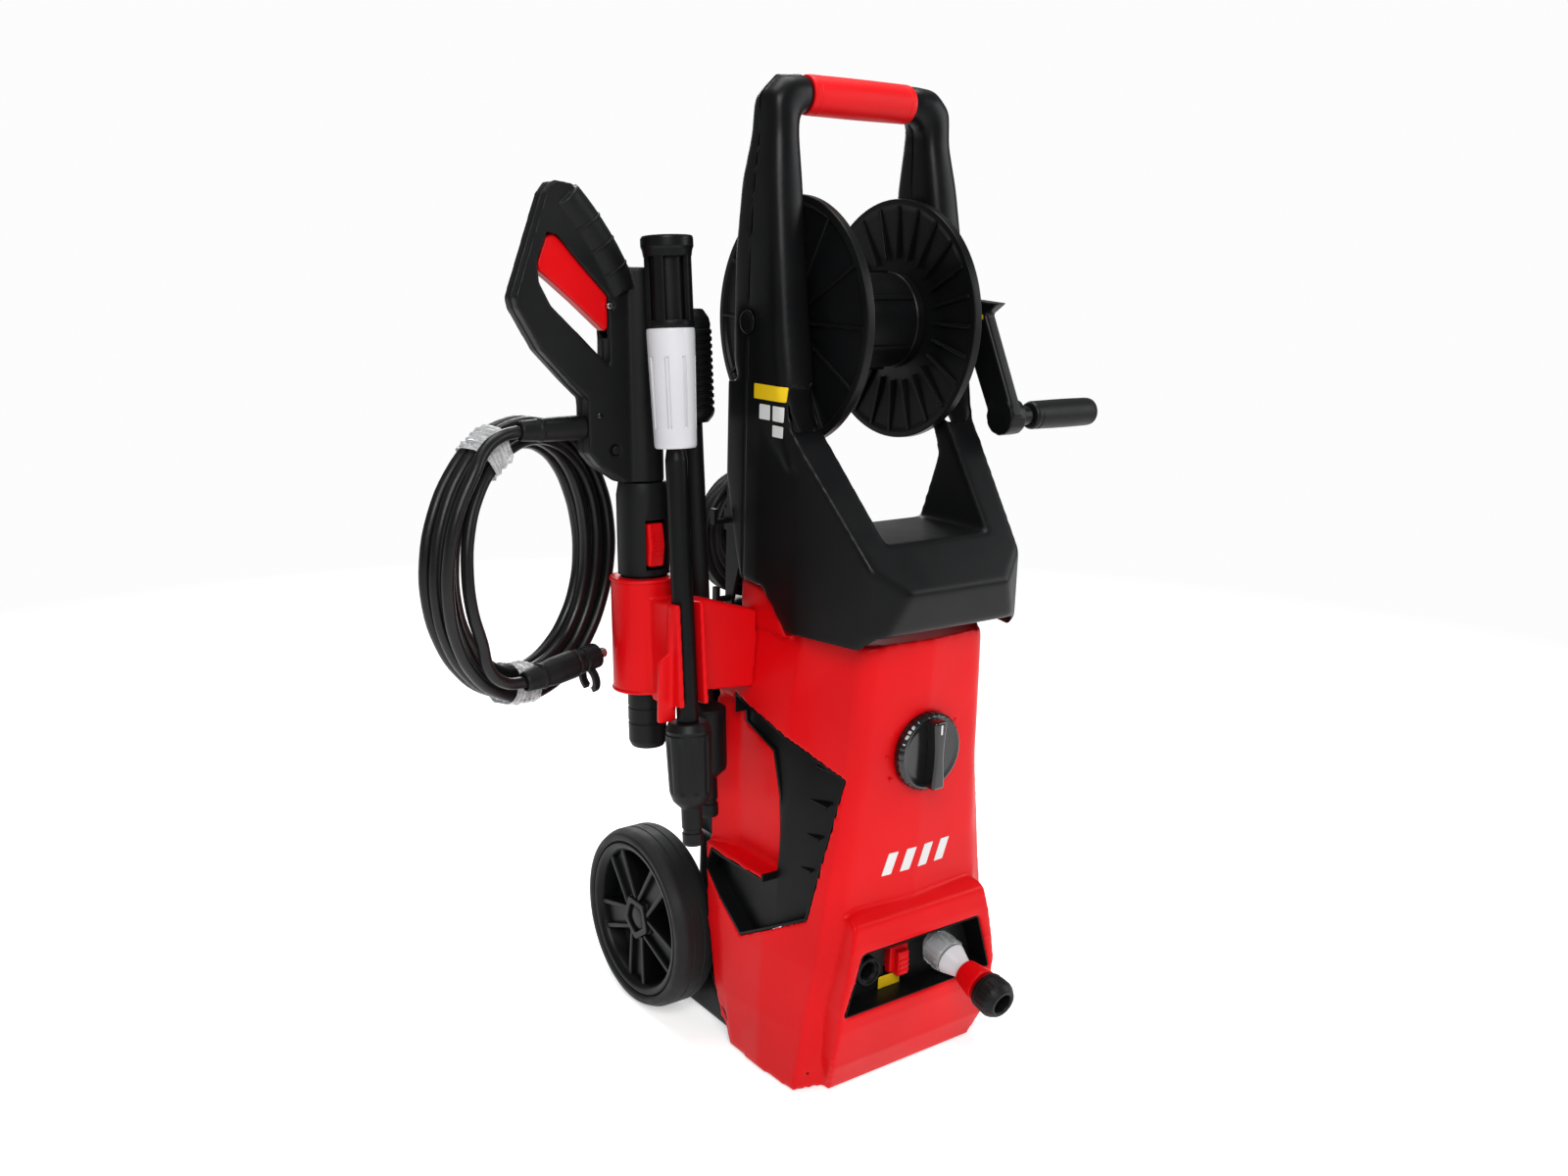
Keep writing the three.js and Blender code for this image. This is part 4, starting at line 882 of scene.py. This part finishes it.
CONNECTOR_PROFILE = [
    (5, 52.5), (10, 52.5), (10, 73.6), (17.4, 74, 0.8), (18, 77, 0), (16.8, 77.8, 0), (16.8, 79.2, 0),
    (18.2, 80, 0), (18.4, 83, 0), (18.4, 90, 0.5), (17.2, 93, 1), (13.6, 98, 1.4), (10.4, 98, 0.6),
    (9.5, 96.5, 0.4), (9.5, 78), (5, 70), (5, 52.5),
]
show("connector_nut", turned(CONNECTOR_PROFILE, "-y", 144, 0.5, 3, end_nut_ribs), INLET_PLACE, "chassis",
     "dark", ["connector_body"])
SLEEVE_PROFILE = [(10.3, 46.5), (12.2, 46.5, 0.8), (12.8, 49, 1), (14.9, 60, 4), (16, 66, 1), (16, 69.5, 0.6),
                  (10.3, 69.5), (10.3, 46.5)]
show("connector_collar", turned(SLEEVE_PROFILE, "-y", 72, 0.5), INLET_PLACE, "sleeve", "red",
     ["connector_sleeve"])

# ---- gun ------------------------------------------------------------------------------
BUTTON_Z, INLET_Z = 498, 602
TRIGGER_PIN, LOCK = (-225, 0, 703 - GUN["z"]), (-224, 0, 582 - GUN["z"])
GUN_PLACE = at(0, GUN["y"], GUN["z"], (-GUN["lean"], "X"))
BARREL_PLACE = along(GUN)
softened("gun_shell_front", "dark", 1.0, 12, GUN["y"])
softened("gun_shell_rear", "dark", 1.0, 12, GUN["y"])
refined("gun_trigger", "red", 1.5)
refined("gun_barrel", "dark", 1.2)
refined("gun_release_button", "red", 1.2)
ridges = [(block((12, 1.2, 1.6), 0.4), at(0, -25.1 + 0.16 * abs(z), z)) for z in (-9, -4.5, 0, 4.5, 9)]
show("release_button_ridges", joined(*ridges), BARREL_PLACE @ at(0, 0, BUTTON_Z - GUN["z"]), "release_button",
     "red")
GRIP_RING = [(15.2, -1.3), (17.3, -0.9, 0.5), (17.3, 0.9, 0.5), (15.2, 1.3), (15.2, -1.3)]
rings = []
GRIP_RING_PLACES = ((-220, 732.5), (-231.5, 752), (-244, 770))
GRIP_LEAN = -math.atan2(15, 24)
for x, z in GRIP_RING_PLACES:
    rings.append((turned(GRIP_RING, "z", 64, 0.3), at(x, 0, z - GUN["z"], (GRIP_LEAN, "Y"))))
show("gun_grip_rings", joined(*rings), GUN_PLACE, "gun", "dark")
PIN_PROFILE = [(0, -11.5), (2.6, -11.5), (3, -11), (3, 11), (2.6, 11.5), (0, 11.5)]
show("trigger_pin_turned", turned(PIN_PROFILE, "-y", 32, 0.2), GUN_PLACE @ at(*TRIGGER_PIN), "gun",
     "steel", ["trigger_pin"])
LOCK_PROFILE = [(0, -14), (3.4, -14), (4, -13.2), *groove(4, -12.6, -11.8, 0.5, 0.2), (4, 13.2), (3.4, 14),
                (0, 14)]
show("gun_lock_pin", turned(LOCK_PROFILE, "-y", 40, 0.3), GUN_PLACE @ at(*LOCK),
     "safety_lock", "dark", ["gun_lock"])
INLET_SLEEVE = [
    (0, -290), (5.9, -290), (5.9, -308), (7.8, -308, 0.6), (8.6, -306.5, 0.6), (9.4, -292, 0.5),
    (10.3, -291, 0.4), (10.3, -288.6, 0.4), (9.7, -287.6, 0.4), (10.5, -271, 1), (10.5, -249.7),
    (7, -249.7), (7, -214), (0, -214),
]
show("gun_hose_sleeve", turned(INLET_SLEEVE, "x", 64, 0.4), GUN_PLACE @ at(0, 0, INLET_Z - GUN["z"]), "gun",
     "dark", ["gun_hose_inlet"])
MUZZLE = [(312, 9), (312, 14.4, 0.8), (317, 17, 1.5), (334, 17.2, 0), (334.6, 16.5, 0), (336, 16.5, 0),
          (336.6, 17.2, 0), (348, 17.2, 0), (348.6, 16.5, 0), (350, 16.5, 0), (350.6, 17.2, 0), (364.6, 17.2),
          (364.6, 9), (312, 9)]
show("gun_muzzle_ring", turned(on_tool(GUN, MUZZLE), "z", 72, 0.5), BARREL_PLACE, "gun", "dark",
     ["gun_muzzle"])
GUN_SCREWS = ((-238, 596), (-206, 640), (-266, 778), (-296, 712))
for number, (x, z) in enumerate(GUN_SCREWS):
    place = GUN_PLACE @ at(x, 11.6, z - GUN["z"], (-math.pi / 2, "X"))
    screw(f"gun_screw_{number}", "gun", place, 2.6, "gloss")
screw("gun_screw_front", "gun", GUN_PLACE @ at(-238, -11.4, 612 - GUN["z"], (math.pi / 2, "X")), 2.8, "gloss")

# ---- lances ---------------------------------------------------------------------------
LANCE_PLACE, TURBO_PLACE = along(LANCE), along(TURBO)
LANCE_TUBE = [(284, 0), (284, 6), (351, 6), (351, 9.5), (578, 9.5), (587, 8), (692, 8), (692, 0)]
show("lance_pipe", turned(on_tool(LANCE, LANCE_TUBE), "z", 56, 0.5), LANCE_PLACE, "lance", "black",
     ["lance_tube"])


def coupling_grip(angle, height, radius):
    z = height + LANCE["z"]
    return -0.9 * max(0, math.cos(10 * angle)) if radius > 18 and 289 < z < 336 else 0


COUPLING = [
    (283.6, 6.3), (283.6, 3), (239, 3), (239, 8.2, 0.6), (241, 9.3, 0.6), (250, 9.3, 0), (251, 8.3, 0),
    (254, 8.3, 0), (255, 9.3, 0), (273, 9.3, 0.6), (280, 16.2, 1.5), (287, 18.6, 1), (290, 19, 0),
    (292, 19.1, 0), (333, 20.2, 0), (335, 20.3, 0), (340, 20.3, 0), (341, 19.4, 0), (343, 19.4, 0),
    (344, 19.9, 0), (350.5, 17, 1), (350.5, 6.3), (283.6, 6.3),
]
show("lance_bayonet", turned(on_tool(LANCE, COUPLING), "z", 120, 0.5, 3, coupling_grip), LANCE_PLACE, "lance",
     "dark", ["lance_coupling"])
GROOVES = 8


def long_grooves(angle, height, radius):
    z = height + LANCE["z"]
    if radius < 15 or not 606 < z < 664:
        return 0
    aside = (angle * GROOVES / (2 * math.pi) + 0.5) % 1 - 0.5
    return -1.9 if abs(aside) < 0.085 else 0


WHITE_SLEEVE = [(588, 8.4), (588, 16.8, 1), (590, 18, 1), (605, 18.45, 0), (607, 18.5, 0), (663, 20, 0),
                (665, 20, 0), (684, 20.4, 0), (688, 20, 1), (688, 8.4), (588, 8.4)]
show("spray_adjuster", turned(on_tool(LANCE, WHITE_SLEEVE), "z", 192, 0.5, 3, long_grooves), LANCE_PLACE,
     "spray_sleeve", "white", ["nozzle_sleeve"])
crown = [
    turned(on_tool(LANCE, [(688.4, 8.5), (688.4, 20), (690, 20.4), (693, 20.4), (694.5, 19.6), (694.5, 8.5),
                           (688.4, 8.5)]), "z", 80, 0.5),
    turned(on_tool(LANCE, [(746, 16.4), (746, 20, 0.8), (752, 21, 1), (754, 22, 0.6), (761, 22, 0.6),
                           (763, 21.2), (763, 18.6), (746, 16.4)]), "z", 80, 0.5),
    turned(on_tool(LANCE, [(694, 12.4), (694, 14.2), (747, 14.2), (747, 12.4), (694, 12.4)]), "z", 64, 0.3),
    turned(on_tool(LANCE, [(692, 0), (692, 12, 1), (699, 12, 1), (702, 7.5, 1), (712, 6.5, 1), (712, 2.4),
                           (704, 1.6), (704, 0)]), "z", 48, 0.5),
]
for k in range(4):
    bar = slab(oblong(15, 20, -4.2, 4.2), "z", 692 - LANCE["z"], 750 - LANCE["z"], 0.6, 1.2)
    crown.append((bar, Matrix.Rotation(math.pi * k / 2 + 0.6, 4, "Z")))
show("nozzle_guard", joined(*crown), LANCE_PLACE, "lance", "black", ["nozzle_crown"])

TURBO_TUBE = [
    (238, 0), (238, 8, 0.6), (240, 9, 0.6), (250, 9, 0), (251, 8, 0), (254, 8, 0), (255, 9, 0),
    (275, 9, 0.6), (283, 18, 1.5), (287, 18.6, 0), (289, 18.7, 0), (335, 19.8, 0), (337, 19.8, 0),
    (341, 19.6, 1), (348, 9, 1), (601, 9), (601, 0),
]
show("turbo_pipe", turned(on_tool(TURBO, TURBO_TUBE), "z", 120, 0.5, 3, coupling_grip), TURBO_PLACE,
     "turbo_lance", "dark", ["turbo_lance_tube"])
turbo_grip = [(601.4, 0), (601.4, 14.4, 0.8), (607, 19.2, 1.5)]
for k in range(12):
    z = 611 + 6.2 * k
    turbo_grip += [(z, 20.4, 0.5), (z + 3, 20.4, 0.5), (z + 3.8, 19.1, 0.3), (z + 5.4, 19.1, 0.3)]
turbo_grip += [(687, 19.6, 1), (693, 18.3, 1.5), (701, 13, 1.5), (701, 6, 0.6), (697, 4), (697, 0)]
show("turbo_head", turned(on_tool(TURBO, turbo_grip), "z", 80, 0.4), TURBO_PLACE, "turbo_lance", "black",
     ["turbo_nozzle"])

# ---- holder ---------------------------------------------------------------------------
rims = []
for low, high in ((366, 369), (465, 468.4)):
    rims.append(turned(on_tool(GUN, [(low, 20.2), (low, 30.2, 1), (low + 1, 30.9, 0.8), (high - 1, 30.9, 0.8),
                                     (high, 30.2, 1), (high, 20.2), (low, 20.2)]), "z", 80, 0.6))
show("holder_rims", joined(*rims), BARREL_PLACE, "chassis", "red")

# ---- hose fitting, ties ---------------------------------------------------------------
FITTING_PLACE = at(-307, 50, 386.5, (0.1, "Z"), (-0.153, "Y"))
BEND_GUARD = [
    (0, 14), (6, 14), (6, -1), (8.2, -1, 0.6), (9, 0.6, 0.6), (10.7, 14, 0.5), (11.7, 15, 0.4),
    (11.7, 17.4, 0.4), (11.2, 18.4, 0.4), (12.4, 30, 2), (12.4, 49, 0.8), (11.6, 51), (0, 51),
]


def flats(angle, height, radius):
    return -0.9 * max(0, math.cos(6 * angle)) if radius > 9 and 54 < height < 74 else 0


COUPLING_END = [(0, 51.2), (10.6, 51.2), (11.2, 53, 0.5), *groove(11.2, 57, 60.8, 0.9, 0.8), (11.2, 73.5, 0.6),
                (10.4, 75), (0, 75)]
coupling = turned(COUPLING_END, "x", 72, 0.4, 3, flats)
CLIP_STEPS = 22
clip_line = []
for radius, start, end in ((13, -58, 240), (8, 240, -58)):
    for k in range(CLIP_STEPS + 1):
        a = math.radians(start + (end - start) * k / CLIP_STEPS)
        clip_line.append((radius * math.cos(a), radius * math.sin(a)))
clip = slab(clip_line, "x", -3, 3, 0.8, 0.6)
neck = slab(oblong(-4.5, 4.5, -9, 4), "x", 61, 67, 0.8, 0.8)
fitting = joined(turned(BEND_GUARD, "x", 64, 0.4), coupling, (clip, at(64, 0, -19)), neck)
fitting_piece = show("hose_end_coupling", fitting, FITTING_PLACE, "gun", "dark", ["hose_end_fitting"])
SPIGOT = [(0, 74), (4.5, 74), *groove(4.5, 77, 79.4, 0.9, 0.4), (4.5, 82.6), (3.4, 84), (1.6, 84), (1.6, 80), (0, 80)]
spigot_piece = show("hose_end_spigot", turned(SPIGOT, "x", 48, 0.3), FITTING_PLACE, "gun", "steel")


def film_tie(name, middle, reach):
    """A crinkled band of clear film round all the hose's turns, reach degrees to each side of middle."""
    bm = bmesh.new()
    rings = []
    steps, around = 14, 48
    for i in range(steps + 1):
        angle = middle - reach + 2 * reach * i / steps
        pinch = 1 + 0.05 * math.sin(9 * i) + 0.04 * abs(2 * i / steps - 1)
        ring = []
        for k in range(around):
            t = 2 * math.pi * k / around
            crease = 0.45 * math.sin(7 * t + 2.1 * i) + 0.3 * math.sin(11 * t - 1.3 * i)
            across = 17.0 * pinch * math.copysign(abs(math.cos(t)) ** 0.7, math.cos(t)) + crease
            deep = 17.6 * pinch * math.copysign(abs(math.sin(t)) ** 0.7, math.sin(t)) + crease
            ring.append(bm.verts.new(hose_point(angle, across, deep)))
        rings.append(ring)
    for low, high in zip(rings, rings[1:]):
        for k in range(around):
            j = (k + 1) % around
            bm.faces.new((low[k], low[j], high[j], high[k]))
    piece = show(name, bm, AS_IT_IS, "gun", "film")
    thick = piece.modifiers.new("thick", "SOLIDIFY")
    thick.thickness = 0.0003
    piece.modifiers.move(1, 0)
    return piece


ties = [film_tie("hose_tie_top", 118, 8), film_tie("hose_tie_low", 262, 9)]

# ---- power cord ends ------------------------------------------------------------------
PLUG_PLACE = at(-7, 137, 330, (math.radians(8), "X"))
PLUG = [(0, -38), (13.4, -38, 0.8), (15, -35.5, 1), (15.5, -33, 1), (15.5, -17, 1)]
for k in range(3):
    z = -15 + 3.6 * k
    r = 14.3 - 1.9 * k
    PLUG += [(r, z, 0.3), (r - 1, z + 1.1, 0.3), (r - 1, z + 2.3, 0.3)]
PLUG += [(8.6, -3.5, 1), (6.8, 15.4, 0.5), (4.7, 16), (4.7, 2), (0, 2)]
plug_piece = show("power_plug_body", turned(PLUG, "z", 72, 0.5), PLUG_PLACE, "chassis", "dark",
                  ["power_plug"])
PLUG_PIN = [(0, -57), (1.6, -56.8, 0.8), (2.4, -55, 0.8), (2.4, -37), (0, -37)]
pins = joined(*((turned(PLUG_PIN, "z", 28, 0.3), at(x, 0, 0)) for x in (-9.5, 9.5)))
pins_piece = show("power_plug_pins", pins, PLUG_PLACE, "chassis", "steel")
RELIEF = [(4.4, -6), (6, -6), (6, 0.3), (9, 0.3, 0.5), (9, 4, 0.5), (8.4, 5, 0.5)]
for k in range(5):
    z = 6.5 + 4.4 * k
    r = 8.2 - 0.42 * k
    RELIEF += [(r, z, 0.3), (r, z + 2.4, 0.3), (r - 1.3, z + 2.8, 0), (r - 1.3, z + 4, 0)]
RELIEF += [(5.8, 28.6, 0.3), (5.4, 30, 0.3), (4.4, 30), (4.4, -6)]
relief_piece = show("cord_bend_relief", turned(RELIEF, "z", 56, 0.3), at(*CORD_EXIT), "chassis", "dark",
                    ["cord_strain_relief"])

# ---- plain markings -------------------------------------------------------------------
def laid_on(node, bm, axis, sign, reach):
    """Drops a flat piece onto a node: its height along the axis becomes its height above the surface.

    The surface lies within 30 of reach, measured out along the axis."""
    mesh = NODES[node].data
    tree = BVHTree.FromPolygons([v.co for v in mesh.vertices], [list(p.vertices) for p in mesh.polygons])
    toward = Vector([-sign if i == "xyz".index(axis) else 0 for i in range(3)])
    missed = []
    for vert in bm.verts:
        height = vert.co["xyz".index(axis)] * sign
        start = vert.co.copy()
        start["xyz".index(axis)] = sign * 400
        hit = tree.ray_cast(start * MM, toward)[0]
        if hit and abs((hit / MM).dot(toward) + reach) < 30:
            vert.co = hit / MM - toward * height
        else:
            missed.append(vert)
    bmesh.ops.delete(bm, geom=missed, context="VERTS")
    return bm


def finely(bm, length):
    """Cuts the long edges of a flat piece so that it can follow a surface."""
    for _ in range(3):
        long = [e for e in bm.edges if e.calc_length() > length]
        if long:
            bmesh.ops.subdivide_edges(bm, edges=long, cuts=1, use_grid_fill=True)
    bmesh.ops.triangulate(bm, faces=[f for f in bm.faces if len(f.verts) > 4])
    return bm


CRANK_MARK = [(-49, 694), (-35, 697.5), (-35, 702), (-49, 698.5)]
mark = laid_on("crank_arm", finely(slab(CRANK_MARK, "x", -0.3, 0.1, 0.1, 1), 5), "x", -1, -118)
show("crank_mark", mark, AS_IT_IS, "reel", "yellow")
FRONT_BAR = [(-6, 203), (5, 203), (12, 224), (1, 224)]
FRONT_BAR_PLACES = (-33, -12, 9, 30)
bars = [slab([(x + aside, z) for x, z in FRONT_BAR], "y", -0.35, 0.1, 0.15, 1) for aside in FRONT_BAR_PLACES]
bars = laid_on("front_cover", finely(joined(*bars), 9), "y", -1, 120)
show("front_bars", bars, AS_IT_IS, "chassis", "print")
# Each tag on the left post is (y, z, width, height, finish).
POST_TAGS = [
    (-27, 633, 50, 13, "yellow"), (-37, 616, 15, 13, "print"), (-18, 616, 15, 13, "print"),
    (-37, 601, 15, 10, "print"),
]
for number, (y, z, wide, high, finish) in enumerate(POST_TAGS):
    half, tall = wide / 2, high / 2
    tag = slab(oblong(y - half, y + half, z - tall, z + tall),
               "x", -0.3, 0.1, 0.12, 1.2)
    tag = laid_on("upper_frame_front", finely(tag, 6), "x", -1, 108)
    show(f"post_tag_{number}", tag, AS_IT_IS, "chassis", finish)
panel_tag = slab(oblong(-31, -5, 69, 97), "y", -110.2, -109.6, 0.15, 1.5)
show("panel_tag", panel_tag, AS_IT_IS, "chassis", "yellow")

# ---- the CAD nodes that stay -----------------------------------------------------------
KEPT = {"motor": "alloy", "pump": "alloy", "inlet_pipe": "steel", "outlet_pipe": "steel"}
for node, piece in NODES.items():
    if not piece.hide_render:
        material, slot = FINISH[KEPT.get(node, "black")]
        piece.data.materials.clear()
        piece.data.materials.append(material)


# ---- light and floor ------------------------------------------------------------------
def light(name, at_mm, size, power, colour, aim=(0, 0, 450)):
    data = bpy.data.lights.new(name, "AREA")
    data.shape = "RECTANGLE"
    data.size, data.size_y = size
    data.energy = power
    data.color = colour
    lamp = bpy.data.objects.new(name, data)
    bpy.context.scene.collection.objects.link(lamp)
    place = Vector(at_mm) * MM
    turn = (Vector(aim) * MM - place).to_track_quat("-Z", "Y").to_matrix().to_4x4()
    lamp.matrix_world = Matrix.Translation(place) @ turn


def make_stage():
    bm = bmesh.new()
    bmesh.ops.create_grid(bm, x_segments=8, y_segments=8, size=9)
    mesh = bpy.data.meshes.new("floor")
    bm.to_mesh(mesh)
    bm.free()
    floor = bpy.data.objects.new("floor", mesh)
    bpy.context.scene.collection.objects.link(floor)
    n = Nodes("floor")
    fades = {"start": 0.9, "end": 2.2}  # metres from the part: from a pale floor to plain white
    base = n.mixed(n.ranged(n.noise(1.5, 3), 0, 1), (0.80, 0.80, 0.80), (0.84, 0.84, 0.84))
    n.bumps((n.noise(300, 2), 0.00005))
    apart = n.add("ShaderNodeVectorMath", operation="LENGTH")
    n.link(n.place, apart.inputs[0])
    base = n.mixed(n.ranged(apart.outputs["Value"], 0, 1, **fades), base, (0, 0, 0))
    glow = n.ranged(apart.outputs["Value"], 0.5, 0.98, **fades)
    mesh.materials.append(n.set(
        Base_Color=base, Roughness=0.7, Specular_IOR_Level=0.0, Emission_Color=(1, 1, 1, 1),
        Emission_Strength=glow,
    ))
    world = bpy.data.worlds.new("studio")
    world.use_nodes = True
    tree = world.node_tree
    backdrop, seen = tree.nodes["Background"], tree.nodes.new("ShaderNodeLightPath")
    strength = tree.nodes.new("ShaderNodeMapRange")
    strength.inputs["To Min"].default_value = 0.26
    strength.inputs["To Max"].default_value = 0.98
    tree.links.new(seen.outputs["Is Camera Ray"], strength.inputs["Value"])
    tree.links.new(strength.outputs["Result"], backdrop.inputs["Strength"])
    backdrop.inputs["Color"].default_value = (1, 1, 1, 1)
    bpy.context.scene.world = world
    light("key", (-1500, -2100, 2300), (1.5, 1.5), 72, (1, 0.99, 0.98))
    light("fill", (2100, -1300, 1300), (1.5, 1.5), 26, (0.98, 0.99, 1))
    light("top", (100, 300, 2600), (1.8, 1.2), 40, (1, 1, 1))
    light("back", (900, 2300, 1500), (1.4, 1.4), 30, (1, 1, 1))


make_stage()
bpy.context.scene.view_settings.view_transform = "Standard"
bpy.context.scene.view_settings.gamma = 0.88
